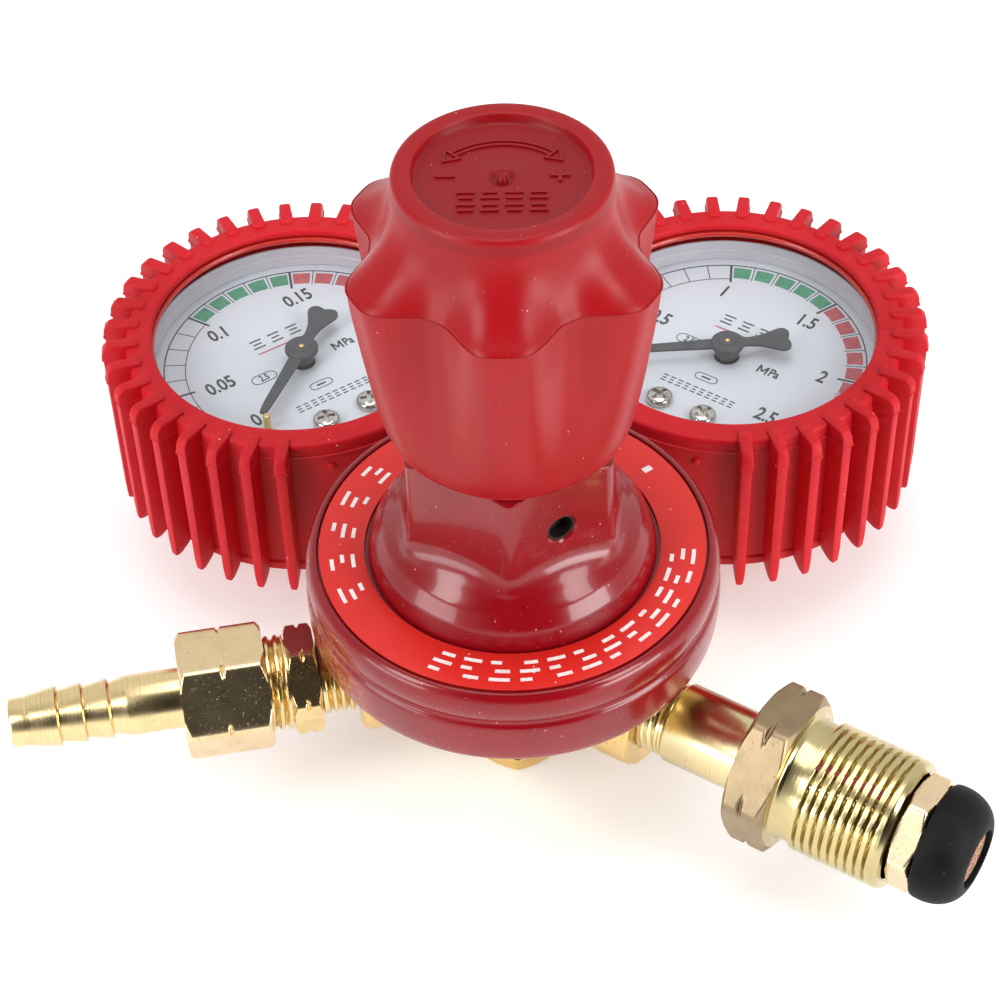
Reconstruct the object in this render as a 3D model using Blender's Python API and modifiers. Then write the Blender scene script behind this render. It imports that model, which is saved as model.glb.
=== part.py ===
"""Single-stage propane gas regulator with two gauges, as separate solids.

Sizes are in millimetres and each mesh is scaled to metres as it is made.
+Z runs up the knob axis, and the origin is the centre of the flat outer face
of the back plug. The inlet and the outlet lie in one level plane, the two
gauge stems in another a little lower, and all four point at the knob axis.
The gauges stand behind it, at +Y.
"""

import math

import bmesh
import bpy

MM = 0.001
WELD = 1e-6
GAP = 0.3
FINE_STEPS = 32
CASE_STEPS = 30
GAUGE_STEPS = 26
SMALL_STEPS = 16

# Ports of the body: height of the gas ports, height of the gauge ports, and bearings from +X
PORT_Z = 23.7
GAUGE_PORT_Z = 19.5
INLET_BEARING = -32.0
OUTLET_BEARING = 190.7
GAUGE_LEAN = 33.0
GAUGE_DISTANCE = 70.07
BOSS_R = 9.9
GAUGE_BOSS_R = 8.9
BOSS_END = 27.0
SOCKET_R = 6.6
SOCKET_FLOOR = 15.0
PORT_THREAD_R = 6.3
PORT_THREAD_START = 15.6
PASSAGE_R = 1.8
GAS_PORTS = ("inlet", "outlet")
PORT_PLACES = {
    "inlet": (INLET_BEARING, PORT_Z),
    "outlet": (OUTLET_BEARING, PORT_Z),
    "low": (90.0 + GAUGE_LEAN, GAUGE_PORT_Z),
    "high": (90.0 - GAUGE_LEAN, GAUGE_PORT_Z),
}

# Body and bonnet
RIM_R = 30.0
RIM_TOP = 43.0
CHAMBER_R = 25.0
CHAMBER_FLOOR = 34.0
VALVE_BORE_R = 5.3
NOZZLE_POCKET_R = 4.8
FLANGE_R = 33.6
SHOULDER_Z = 45.5
LABEL_SEAT_Z = 48.5
LABEL_INNER_R = 23.7
LABEL_OUTER_R = 31.1
HEX_BASE_Z = 57.0
HEX_TOP_Z = 76.0
BONNET_HEX_R = 18.4
NECK_TOP_Z = 86.0
NECK_R = 13.0
SPRING_BORE_R = 12.6
SCREW_R = 6.0
VENT_Z = 66.2
VENT_R = 2.5
VENT_BEARING = -60.0

# Knob: radii on the lobes and in the flutes at each height
KNOB_LOBES = 6
KNOB_BASE_Z = 77.0
KNOB_PARTING_Z = 111.0
KNOB_TOP_Z = 124.6
KNOB_RIM_R = 15.8
KNOB_LOBE_R = 24.4
KNOB_FLUTE_R = 19.3
KNOB_SECTIONS = [
    (KNOB_BASE_Z, 18.3, 18.1),
    (80.5, 19.7, 18.7),
    (88.0, 21.3, 19.0),
    (99.0, 23.0, 19.2),
    (KNOB_PARTING_Z, KNOB_LOBE_R, KNOB_FLUTE_R),
    (113.0, 21.7, 18.0),
    (116.0, 18.6, 16.9),
    (120.0, 16.4, 16.0),
    (KNOB_TOP_Z, KNOB_RIM_R, KNOB_RIM_R),
]
LOBE_FLAT_DEG = 4.0
LOBE_FADE_DEG = 24.0
CAVITY_R = 14.6
CAVITY_TOP = 98.0
RECESS_R = 12.8
RECESS_FLOOR = 123.1
SCREW_HEAD_R = 11.0
SCREW_HEAD_BASE = 98.6
SCREW_HEAD_TOP = 106.2
SCREW_TIP_Z = 64.7

# Springs: mean coil radius, wire radius, turns
MAIN_SPRING = (10.4, 1.2, 3.7)
RETURN_SPRING = (3.3, 0.4, 5.0)

# Gauges, in a frame whose -Y points down the stem
CASE_R = 28.8
CASE_BORE_R = 27.5
CASE_BACK_Z = 13.6
CASE_FRONT_Z = 38.9
BEZEL_R = 29.5
BEZEL_OPENING_R = 26.4
DIAL_R = 27.2
DIAL_Z = 35.0
DIAL_THICK = 0.6
DIAL_SCREWS = ((-4.4, -16.2), (4.4, -16.2))
BOOT_R = 31.2
BOOT_BORE_R = 29.8
BOOT_OPENING_R = 26.5
BOOT_BACK_Z = 13.7
BOOT_FRONT_Z = 43.6
RIB_R = 35.3
RIB_WIDTH = 1.7
RIBS_PER_SIDE = 15
RIB_PITCH_DEG = 10.0
RIB_FIRST_DEG = 35.0
ZERO_DEG = 221.0
STOP_PIN_R = 17.3
STOP_PIN_LEAD_DEG = 3.0
SECTOR_PIVOT = (-9.6, -7.0)
PINION_R = 1.7
SECTOR_R = 9.8
SECTOR_LOW_DEG = -11.9
SECTOR_HIGH_DEG = 42.1

# Across-corner radii of the hexagons
OUTLET_COLLAR_HEX_R = 9.24
OUTLET_NUT_HEX_R = 10.97
INLET_NUT_HEX_R = 13.86
INLET_NIPPLE_HEX_R = 9.81
PLUG_HEX_R = 8.2

# Material of each kind of piece: colour, roughness, metallic
FINISHES = {
    "red_moulding": ((0.50, 0.012, 0.02), 0.45, 0.0),
    "crimson_paint": ((0.27, 0.004, 0.012), 0.2, 0.0),
    "label_red": ((0.72, 0.035, 0.025), 0.4, 0.0),
    "boot_rubber": ((0.60, 0.015, 0.028), 0.55, 0.0),
    "brass": ((0.72, 0.50, 0.20), 0.3, 1.0),
    "pale_gold_plating": ((0.66, 0.58, 0.36), 0.3, 1.0),
    "spring_steel": ((0.45, 0.45, 0.46), 0.35, 1.0),
    "black_rubber": ((0.012, 0.012, 0.013), 0.6, 0.0),
    "acetal": ((0.02, 0.02, 0.02), 0.45, 0.0),
    "sintered_bronze": ((0.45, 0.24, 0.12), 0.7, 1.0),
    "dial_white": ((0.75, 0.78, 0.83), 0.5, 0.0),
    "clear_window": ((0.9, 0.93, 0.95), 0.05, 0.0),
    "pointer_grey": ((0.09, 0.09, 0.09), 0.5, 0.0),
}


def clear_scene():
    for old in list(bpy.data.objects):
        bpy.data.objects.remove(old, do_unlink=True)


def new_collection(name):
    collection = bpy.data.collections.new(name)
    bpy.context.scene.collection.children.link(collection)
    return collection


def make_material(name, finish):
    colour, roughness, metallic = FINISHES[finish]
    material = bpy.data.materials.new(name)
    material.use_nodes = True
    shader = material.node_tree.nodes["Principled BSDF"]
    shader.inputs["Base Color"].default_value = (*colour, 1.0)
    shader.inputs["Roughness"].default_value = roughness
    shader.inputs["Metallic"].default_value = metallic
    return material


def register(body, name, finish, parent):
    """Name a piece of the object, finish it and hang it on its frame."""
    body.name = name
    body.data.name = name
    body.parent = parent
    body.data.materials.clear()
    body.data.materials.append(make_material(name, finish))
    PARTS.objects.link(body)
    return body


def as_cutter(body, parent):
    """Keep a body only as the tool of a Boolean."""
    body.parent = parent
    body.hide_render = True
    body.display_type = "WIRE"
    CUTTERS.objects.link(body)
    return body


def frame_at(name, location, rotation_deg):
    empty = bpy.data.objects.new(name, None)
    empty.location = [value * MM for value in location]
    empty.rotation_euler = [math.radians(value) for value in rotation_deg]
    PARTS.objects.link(empty)
    return empty


def turned(profile, closed=False, steps=CASE_STEPS):
    """Turn a profile of (radius, height) points about Z."""
    count = len(profile)
    points = [(radius * MM, 0.0, height * MM) for radius, height in profile]
    edges = [(index, index + 1) for index in range(count - 1)]
    if closed:
        edges.append((count - 1, 0))
    mesh = bpy.data.meshes.new("turned")
    mesh.from_pydata(points, edges, [])
    body = bpy.data.objects.new("turned", mesh)
    screw = body.modifiers.new("Turn", "SCREW")
    screw.steps = steps
    screw.render_steps = steps
    screw.use_merge_vertices = True
    screw.merge_threshold = WELD
    screw.use_smooth_shade = True
    return body


def rod(radius, low, high, sides=16, turn_deg=0.0):
    """A prism along Z; six sides with a corner at +Y make a hexagon."""
    mesh = bpy.data.meshes.new("rod")
    work = bmesh.new()
    bmesh.ops.create_cone(
        work, cap_ends=True, segments=sides, radius1=radius * MM, radius2=radius * MM, depth=(high - low) * MM
    )
    work.to_mesh(mesh)
    work.free()
    body = bpy.data.objects.new("rod", mesh)
    body.location.z = (low + high) / 2 * MM
    body.rotation_euler.z = math.radians(turn_deg)
    return body


def block(low, high):
    """A box between two corners."""
    mesh = bpy.data.meshes.new("block")
    work = bmesh.new()
    bmesh.ops.create_cube(work, size=1.0)
    sides = [(high[axis] - low[axis]) * MM for axis in range(3)]
    bmesh.ops.scale(work, vec=sides, verts=work.verts)
    work.to_mesh(mesh)
    work.free()
    body = bpy.data.objects.new("block", mesh)
    body.location = [(low[axis] + high[axis]) / 2 * MM for axis in range(3)]
    return body


def plate(outline, low, high):
    """A flat outline in XY, filled from one height to another."""
    curve = bpy.data.curves.new("plate", "CURVE")
    curve.dimensions = "2D"
    curve.fill_mode = "BOTH"
    curve.extrude = (high - low) / 2 * MM
    spline = curve.splines.new("POLY")
    spline.points.add(len(outline) - 1)
    for point, (x, y) in zip(spline.points, outline):
        point.co = (x * MM, y * MM, 0.0, 1.0)
    spline.use_cyclic_u = True
    guide = bpy.data.objects.new("plate", curve)
    bpy.context.scene.collection.objects.link(guide)
    graph = bpy.context.evaluated_depsgraph_get()
    mesh = bpy.data.meshes.new_from_object(guide.evaluated_get(graph))
    bpy.data.objects.remove(guide, do_unlink=True)
    work = bmesh.new()
    work.from_mesh(mesh)
    bmesh.ops.remove_doubles(work, verts=work.verts, dist=WELD)
    bmesh.ops.recalc_face_normals(work, faces=work.faces)
    work.to_mesh(mesh)
    work.free()
    body = bpy.data.objects.new("plate", mesh)
    body.location.z = (low + high) / 2 * MM
    return body


def coil(spring, low, high, points_per_turn):
    """A round-wire compression spring about Z."""
    mean_r, wire_r, turns = spring
    curve = bpy.data.curves.new("coil", "CURVE")
    curve.dimensions = "3D"
    curve.bevel_depth = wire_r * MM
    curve.bevel_resolution = 1
    curve.use_fill_caps = True
    count = int(turns * points_per_turn) + 1
    spline = curve.splines.new("POLY")
    spline.points.add(count - 1)
    for index, point in enumerate(spline.points):
        share = index / (count - 1)
        angle = share * turns * math.tau
        height = low + wire_r + (high - low - 2 * wire_r) * share
        point.co = (mean_r * math.cos(angle) * MM, mean_r * math.sin(angle) * MM, height * MM, 1.0)
    return bpy.data.objects.new("coil", curve)


def boolean(body, tool, operation):
    step = body.modifiers.new(operation.title(), "BOOLEAN")
    step.operation = operation
    step.solver = "EXACT"
    step.object = tool


def cut(body, tool, parent):
    boolean(body, as_cutter(tool, parent), "DIFFERENCE")


def add(body, tool, parent):
    boolean(body, as_cutter(tool, parent), "UNION")


def arc(centre, radius, start_deg, end_deg, count):
    """Points along an arc, both ends included."""
    angles = [math.radians(start_deg + (end_deg - start_deg) * step / (count - 1)) for step in range(count)]
    return [(centre[0] + radius * math.cos(angle), centre[1] + radius * math.sin(angle)) for angle in angles]


def polar(radius, angle_deg):
    angle = math.radians(angle_deg)
    return (radius * math.cos(angle), radius * math.sin(angle))


# ---------------------------------------------------------------- body

def make_body(world, ports):
    profile = [
        (RIM_R, RIM_TOP), (RIM_R, 31.5), (27.0, 29.5), (21.0, 22.0), (18.0, 16.0), (13.0, 10.0),
        (9.0, 7.5), (9.0, 5.0), (VALVE_BORE_R, 5.0), (VALVE_BORE_R, 27.0), (NOZZLE_POCKET_R, 27.0),
        (NOZZLE_POCKET_R, 37.0), (8.0, 37.0), (8.0, CHAMBER_FLOOR), (CHAMBER_R, CHAMBER_FLOOR),
        (CHAMBER_R, RIM_TOP),
    ]
    body = register(turned(profile, closed=True), "regulator_body", "brass", world)
    for name, port in ports.items():
        boss_r = BOSS_R if name in GAS_PORTS else GAUGE_BOSS_R
        add(body, rod(boss_r, 12.0, BOSS_END, SMALL_STEPS), port)
    cut(body, rod(VALVE_BORE_R, 4.0, 26.9, CASE_STEPS), world)
    for port in ports.values():
        cut(body, rod(SOCKET_R, SOCKET_FLOOR, BOSS_END + 1.0, SMALL_STEPS), port)
    for name in ("inlet", "high"):
        cut(body, rod(PASSAGE_R, 4.0, SOCKET_FLOOR + 1.0, 10), ports[name])
    for name in ("outlet", "low"):
        bearing, height = PORT_PLACES[name]
        drilling = rod(PASSAGE_R, height, CHAMBER_FLOOR + 1.0, 10)
        drilling.location.x, drilling.location.y = [value * MM for value in polar(18.0, bearing)]
        cut(body, drilling, world)


def make_back_plug(world):
    plug = rod(PLUG_HEX_R, 0.0, 3.3, 6)
    add(plug, rod(5.0, 3.0, 14.0, SMALL_STEPS), world)
    cut(plug, rod(4.0, 7.0, 15.0, SMALL_STEPS), world)
    register(plug, "back_plug", "brass", world)
    seal = turned([(8.0, 4.7), (8.0, 3.6), (5.4, 3.6), (5.4, 4.7)], closed=True)
    register(seal, "back_plug_seal", "black_rubber", world)


def make_bonnet(world):
    profile = [
        (NECK_R, NECK_TOP_Z), (NECK_R, 60.5), (15.5, 59.2), (18.3, 57.0), (20.6, 54.8), (22.2, 52.2),
        (22.9, 50.0), (23.2, LABEL_SEAT_Z), (31.3, LABEL_SEAT_Z), (31.5, 49.2), (32.3, 49.0),
        (33.2, 47.8), (33.4, 46.0), (33.2, 44.0), (32.9, 43.4), (FLANGE_R, 42.4), (FLANGE_R, 39.0),
        (33.2, 34.5), (30.4, 34.5), (30.4, SHOULDER_Z), (26.0, SHOULDER_Z), (25.4, 46.0), (19.5, 46.3),
        (19.5, 49.5), (SPRING_BORE_R, 54.5), (SPRING_BORE_R, 74.0), (6.35, 76.5), (6.35, NECK_TOP_Z),
    ]
    bonnet = register(turned(profile, closed=True, steps=FINE_STEPS), "bonnet", "crimson_paint", world)
    hexagon = rod(BONNET_HEX_R, HEX_BASE_Z, HEX_TOP_Z, 6)
    cut(hexagon, rod(NECK_R - 0.2, HEX_BASE_Z - 1.0, HEX_TOP_Z + 1.0, FINE_STEPS), world)
    add(bonnet, hexagon, world)
    bearing = math.radians(VENT_BEARING)
    vent = rod(VENT_R, 10.0, 20.0)
    vent.location = (15.0 * math.cos(bearing) * MM, 15.0 * math.sin(bearing) * MM, VENT_Z * MM)
    vent.rotation_euler = (0.0, math.radians(90.0), bearing)
    cut(bonnet, vent, world)
    top, low = LABEL_SEAT_Z + 2 * GAP, LABEL_SEAT_Z + GAP
    ring = [(LABEL_OUTER_R, top), (LABEL_OUTER_R, low), (LABEL_INNER_R, low), (LABEL_INNER_R, top)]
    register(turned(ring, closed=True, steps=FINE_STEPS), "bonnet_label", "label_red", world)


# ---------------------------------------------------------------- inside the body

def make_diaphragm_stack(world):
    diaphragm = [(29.7, 44.3), (29.7, 43.3), (2.3, 43.3), (2.3, 44.3)]
    register(turned(diaphragm, closed=True), "diaphragm", "black_rubber", world)
    slip_ring = [(29.9, 45.2), (29.9, 44.6), (26.3, 44.6), (26.3, 45.2)]
    register(turned(slip_ring, closed=True), "slip_ring", "acetal", world)
    spring_seat = [(0, 49.3), (8.8, 49.3), (8.8, 47.3), (12.0, 47.3), (12.0, 44.7), (2.0, 44.7), (2.0, 41.0),
                   (0, 41.0)]
    register(turned(spring_seat, steps=SMALL_STEPS), "diaphragm_plate", "pale_gold_plating", world)
    nut = [(8.5, 43.0), (8.5, 41.0), (2.3, 41.0), (2.3, 43.0)]
    register(turned(nut, closed=True, steps=SMALL_STEPS), "diaphragm_nut", "brass", world)
    register(rod(1.2, 25.1, 40.7, 12), "push_pin", "pale_gold_plating", world)


def make_valve(world):
    nozzle = [(6.5, 39.5), (6.5, 37.3), (4.5, 37.3), (4.5, 27.6), (2.9, 27.6), (2.9, 26.6), (1.9, 26.6),
              (1.9, 39.5)]
    register(turned(nozzle, closed=True, steps=SMALL_STEPS), "valve_nozzle", "brass", world)
    seat = [(3.2, 26.3), (3.2, 25.1), (1.6, 25.1), (1.6, 26.3)]
    register(turned(seat, closed=True, steps=SMALL_STEPS), "poppet_seat", "black_rubber", world)
    poppet = [(0, 24.8), (4.2, 24.8), (4.2, 20.2), (2.0, 20.2), (2.0, 14.0), (0, 14.0)]
    register(turned(poppet, steps=SMALL_STEPS), "poppet", "brass", world)
    register(coil(RETURN_SPRING, 7.3, 19.9, 8), "return_spring", "spring_steel", world)


# ---------------------------------------------------------------- adjusting gear

def make_adjusting_gear(world):
    register(coil(MAIN_SPRING, 47.6, 61.1, 12), "main_spring", "spring_steel", world)
    button = [(0, 64.4), (11.0, 64.4), (11.6, 63.8), (11.6, 61.4), (8.6, 61.4), (8.6, 59.5), (0, 59.5)]
    register(turned(button, steps=SMALL_STEPS), "spring_button", "pale_gold_plating", world)
    screw = rod(SCREW_HEAD_R, SCREW_HEAD_BASE, SCREW_HEAD_TOP, 6)
    shank = [(0, SCREW_HEAD_BASE + 1.0), (SCREW_R, SCREW_HEAD_BASE + 1.0), (SCREW_R, 66.2), (4.5, SCREW_TIP_Z),
             (0, SCREW_TIP_Z)]
    add(screw, turned(shank, steps=SMALL_STEPS), world)
    register(screw, "adjusting_screw", "pale_gold_plating", world)


def lobe_share(angle_deg):
    """1 on a lobe, 0 in a flute; a lobe points at -Y."""
    pitch = 360.0 / KNOB_LOBES
    offset = abs((angle_deg + 90.0 + pitch / 2) % pitch - pitch / 2)
    fade = min(max((offset - LOBE_FLAT_DEG) / LOBE_FADE_DEG, 0.0), 1.0)
    return 0.5 * (1.0 + math.cos(math.pi * fade))


def make_knob(world):
    sides = 48
    work = bmesh.new()
    rings = []
    for height, lobe_r, flute_r in KNOB_SECTIONS:
        ring = []
        for side in range(sides):
            angle_deg = 360.0 * side / sides
            radius = flute_r + (lobe_r - flute_r) * lobe_share(angle_deg)
            x, y = polar(radius * MM, angle_deg)
            ring.append(work.verts.new((x, y, height * MM)))
        rings.append(ring)
    for lower, upper in zip(rings, rings[1:]):
        for side in range(sides):
            after = (side + 1) % sides
            work.faces.new((lower[side], lower[after], upper[after], upper[side]))
    work.faces.new(reversed(rings[0]))
    work.faces.new(rings[-1])
    mesh = bpy.data.meshes.new("knob")
    work.to_mesh(mesh)
    work.free()
    knob = register(bpy.data.objects.new("knob", mesh), "knob", "red_moulding", world)
    cut(knob, rod(CAVITY_R, KNOB_BASE_Z - 1.0, CAVITY_TOP, CASE_STEPS), world)
    cut(knob, rod(SCREW_HEAD_R + 0.4, CAVITY_TOP - 1.0, SCREW_HEAD_TOP + GAP, 6), world)
    cut(knob, rod(RECESS_R, RECESS_FLOOR, KNOB_TOP_Z + 1.0, CASE_STEPS), world)


# ---------------------------------------------------------------- inlet

def make_inlet(axis):
    stem = [
        (2.5, 75.2), (5.0, 75.2), (5.0, 72.5), (6.2, 72.5), (6.2, 59.5), (8.6, 59.5), (8.6, 56.8),
        (6.8, 56.8), (6.8, 31.6), (PORT_THREAD_R, 31.0), (PORT_THREAD_R, PORT_THREAD_START),
        (2.5, PORT_THREAD_START),
    ]
    register(turned(stem, closed=True, steps=SMALL_STEPS), "inlet_stem", "pale_gold_plating", axis)

    nut = turned([(0, 72.2), (10.3, 72.2), (10.9, 71.6), (10.9, 56.2), (10.2, 55.4), (10.2, 50.0), (0, 50.0)])
    add(nut, rod(INLET_NUT_HEX_R, 45.9, 53.3, 6, -12.8), axis)
    bore = [(0, 73.0), (9.0, 73.0), (9.0, 56.4), (7.15, 56.4), (7.15, 45.0), (0, 45.0)]
    cut(nut, turned(bore, steps=SMALL_STEPS), axis)
    register(nut, "inlet_nut", "pale_gold_plating", axis)

    nipple = rod(INLET_NIPPLE_HEX_R, 72.8, 76.7, 6, -12.8)
    add(nipple, rod(6.0, 76.0, 81.3, SMALL_STEPS), axis)
    passage = [(0, 82.0), (2.5, 82.0), (2.5, 75.6), (5.3, 75.6), (5.3, 72.0), (0, 72.0)]
    cut(nipple, turned(passage, steps=SMALL_STEPS), axis)
    register(nipple, "inlet_nipple", "brass", axis)

    nose = [(4.9, 84.6), (5.9, 84.6), (7.6, 83.6), (8.9, 81.5), (9.5, 79.0), (9.5, 77.0), (6.3, 77.0),
            (6.3, 81.7), (4.9, 81.7)]
    register(turned(nose, closed=True, steps=SMALL_STEPS), "inlet_rubber_nose", "black_rubber", axis)
    register(rod(4.6, 81.9, 83.9, SMALL_STEPS), "inlet_filter", "sintered_bronze", axis)


# ---------------------------------------------------------------- outlet

def make_outlet(axis):
    fitting = turned([
        (0, 50.0), (7.9, 50.0), (7.9, 37.5), (5.2, 37.5), (5.2, 29.0), (PORT_THREAD_R, 28.4),
        (PORT_THREAD_R, PORT_THREAD_START), (0, PORT_THREAD_START),
    ], steps=SMALL_STEPS)
    add(fitting, rod(OUTLET_COLLAR_HEX_R, 33.4, 38.1, 6, 16.0), axis)
    cut(fitting, rod(2.5, PORT_THREAD_START - 1.0, 51.0), axis)
    register(fitting, "outlet_fitting", "brass", axis)

    nut = rod(OUTLET_NUT_HEX_R, 41.7, 55.9, 6, 7.3)
    bore = [(0, 53.0), (8.2, 53.0), (8.2, 41.0), (0, 41.0)]
    cut(nut, turned(bore, steps=SMALL_STEPS), axis)
    cut(nut, rod(5.35, 52.5, 57.0, SMALL_STEPS), axis)
    register(nut, "outlet_nut", "brass", axis)

    crests = (76.3, 72.1, 67.9)
    barb = [(2.8, 84.1), (4.1, 84.1)]
    for crest in crests:
        barb += [(5.0, crest), (4.25, crest - 0.4)]
    barb += [(5.0, 64.7), (5.0, 52.7), (7.8, 52.7), (7.8, 50.4), (2.8, 50.4)]
    register(turned(barb, closed=True, steps=SMALL_STEPS), "hose_barb", "brass", axis)


# ---------------------------------------------------------------- gauges

def make_case(prefix, frame, stem):
    cup = [(0, 15.1), (CASE_BORE_R, 15.1), (CASE_BORE_R, CASE_FRONT_Z), (CASE_R, CASE_FRONT_Z),
           (CASE_R, CASE_BACK_Z), (0, CASE_BACK_Z)]
    case = register(turned(cup, steps=GAUGE_STEPS), prefix + "_case", "crimson_paint", frame)
    cut(case, rod(6.4, 25.0, 31.0), stem)
    inner_r, top = CASE_R + GAP, 41.9
    bezel = [(BEZEL_OPENING_R, top), (BEZEL_R, top), (BEZEL_R, 35.5), (inner_r, 35.5), (inner_r, 41.0),
             (BEZEL_OPENING_R, 41.0)]
    register(turned(bezel, closed=True, steps=GAUGE_STEPS), prefix + "_bezel", "crimson_paint", frame)
    register(rod(28.7, 39.2, 40.7, GAUGE_STEPS), prefix + "_window", "clear_window", frame)


def rib_row():
    """The thin fins round the boot, which leave the stem side plain."""
    fin = [(30.4, 42.9), (33.6, 42.9), (RIB_R, 41.0), (35.0, 11.7), (33.2, 11.7), (30.4, 14.3)]
    work = bmesh.new()
    for side in (-1, 1):
        for place in range(RIBS_PER_SIDE):
            angle_deg = -90.0 + side * (RIB_FIRST_DEG + RIB_PITCH_DEG * place)
            rings = []
            for half in (-RIB_WIDTH / 2, RIB_WIDTH / 2):
                along_x, along_y = polar(1.0, angle_deg)
                corners = [(r * along_x - half * along_y, r * along_y + half * along_x, z) for r, z in fin]
                rings.append([work.verts.new([value * MM for value in corner]) for corner in corners])
            near, far = rings
            for index in range(len(fin)):
                after = (index + 1) % len(fin)
                work.faces.new((near[index], near[after], far[after], far[index]))
            work.faces.new(list(reversed(near)))
            work.faces.new(far)
    bmesh.ops.recalc_face_normals(work, faces=work.faces)
    mesh = bpy.data.meshes.new("ribs")
    work.to_mesh(mesh)
    work.free()
    return bpy.data.objects.new("ribs", mesh)


def make_boot(prefix, frame):
    sleeve = [(BOOT_OPENING_R, BOOT_FRONT_Z), (30.4, BOOT_FRONT_Z), (BOOT_R, 42.8), (BOOT_R, BOOT_BACK_Z),
              (BOOT_BORE_R, BOOT_BACK_Z), (BOOT_BORE_R, 42.2), (BOOT_OPENING_R, 42.2)]
    boot = register(turned(sleeve, closed=True, steps=FINE_STEPS), prefix + "_boot", "boot_rubber", frame)
    add(boot, rib_row(), frame)
    cut(boot, block((-7.6, -33.0, 12.0), (7.6, -28.0, 27.2)), frame)


def make_dial(prefix, frame):
    low = DIAL_Z - DIAL_THICK
    disc = [(DIAL_R, DIAL_Z), (DIAL_R, low), (2.2, low), (2.2, DIAL_Z)]
    dial = register(turned(disc, closed=True, steps=GAUGE_STEPS), prefix + "_dial", "dial_white", frame)
    head = DIAL_Z + GAP
    shape = [(0, head + 1.3), (1.4, head + 1.3), (2.1, head + 0.6), (2.1, head), (1.3, head), (1.3, 30.0),
             (0, 30.0)]
    for side, (x, y) in zip(("left", "right"), DIAL_SCREWS):
        hole = rod(1.7, 33.0, 36.0, 12)
        hole.location.x, hole.location.y = x * MM, y * MM
        cut(dial, hole, frame)
        screw = register(turned(shape, steps=10), prefix + "_dial_screw_" + side, "spring_steel", frame)
        screw.location.x, screw.location.y = x * MM, y * MM
    pin = register(rod(0.5, head, 38.6, 10), prefix + "_stop_pin", "brass", frame)
    pin_x, pin_y = polar(STOP_PIN_R, ZERO_DEG + STOP_PIN_LEAD_DEG)
    pin.location.x, pin.location.y = pin_x * MM, pin_y * MM


def make_socket(prefix, frame, stem):
    thread_start = GAUGE_DISTANCE - PORT_THREAD_START
    boss_face = GAUGE_DISTANCE - BOSS_END
    socket = turned([(0, thread_start), (PORT_THREAD_R, thread_start), (PORT_THREAD_R, boss_face - 1.5),
                     (6.0, boss_face - 1.5), (6.0, 25.3), (0, 25.3)], steps=SMALL_STEPS)
    add(socket, block((-7.0, -7.0, 33.6), (7.0, 7.0, boss_face - 1.0)), stem)
    add(socket, block((-7.5, -3.5, 12.0), (7.5, 14.6, 25.8)), stem)
    cut(socket, rod(1.5, 11.0, thread_start + 1.0, 10), stem)
    for x, y in DIAL_SCREWS:
        hole = rod(1.6, 29.5, 36.0, 12)
        hole.location.x, hole.location.y = x * MM, y * MM
        cut(socket, hole, frame)
    register(socket, prefix + "_socket", "brass", stem)


def make_movement(prefix, frame):
    tube = arc((0, 0), 20.6, -64.0, 180.0, 25) + arc((0, 0), 18.4, 180.0, -64.0, 25)
    register(plate(tube, 21.0, 27.0), prefix + "_bourdon_tube", "brass", frame)

    # Plates above and below the gears, joined by a wall beside the socket
    holder = block((-12.5, -11.6, 24.0), (8.0, 8.0, 32.8))
    cut(holder, block((-13.5, -9.8, 25.2), (9.0, 9.0, 31.6)), frame)
    pivot_x, pivot_y = SECTOR_PIVOT
    for radius, x, y in ((1.2, 0.0, 0.0), (1.1, pivot_x, pivot_y)):
        hole = rod(radius, 23.0, 34.0, 12)
        hole.location.x, hole.location.y = x * MM, y * MM
        cut(holder, hole, frame)
    register(holder, prefix + "_movement_frame", "brass", frame)

    pinion = [(0, 37.6), (0.8, 37.6), (0.8, 29.6), (PINION_R, 29.6), (PINION_R, 27.4), (0.8, 27.4), (0.8, 23.6),
              (0, 23.6)]
    register(turned(pinion, steps=12), prefix + "_pinion", "brass", frame)

    # Toothed end and tail of the sector, about its own pivot
    outline = arc((0, 0), SECTOR_R, SECTOR_LOW_DEG, SECTOR_HIGH_DEG, 9)
    outline += arc((0, 0), 1.8, 60.0, 120.0, 4) + [polar(5.9, 145.0), polar(5.9, 155.0)]
    outline += arc((0, 0), 1.8, 200.0, 330.0, 6)
    sector = plate(outline, 27.9, 28.8)
    shaft = rod(0.7, 23.6, 33.2, 10)
    for part in (sector, shaft):
        part.location.x, part.location.y = pivot_x * MM, pivot_y * MM
    add(sector, shaft, frame)
    register(sector, prefix + "_sector", "brass", frame)

    tail_x, tail_y = polar(5.5, 150.0)
    start = (pivot_x + tail_x, pivot_y + tail_y)
    link = arc(start, 0.7, -45.0, -225.0, 5) + arc((-17.4, -1.2), 0.7, 135.0, -45.0, 5)
    register(plate(link, 29.1, 29.9), prefix + "_link", "brass", frame)


def make_pointer(prefix, frame):
    hub_r, blade, tail_end = 3.0, 0.45, 13.7
    outline = [(16.0, -blade), (16.6, 0.0), (16.0, blade)]
    outline += arc((0, 0), hub_r, 16.0, 164.0, 8)
    outline += [(-9.5, 1.3), (-12.9, 2.5), (-tail_end, 1.4), (-tail_end, -1.4), (-12.9, -2.5), (-9.5, -1.3)]
    outline += arc((0, 0), hub_r, 196.0, 344.0, 8)
    turn = math.radians(ZERO_DEG)
    along, across = math.cos(turn), math.sin(turn)
    points = [(x * along - y * across, x * across + y * along) for x, y in outline]
    register(plate(points, 37.9, 38.5), prefix + "_pointer", "pointer_grey", frame)


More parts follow.
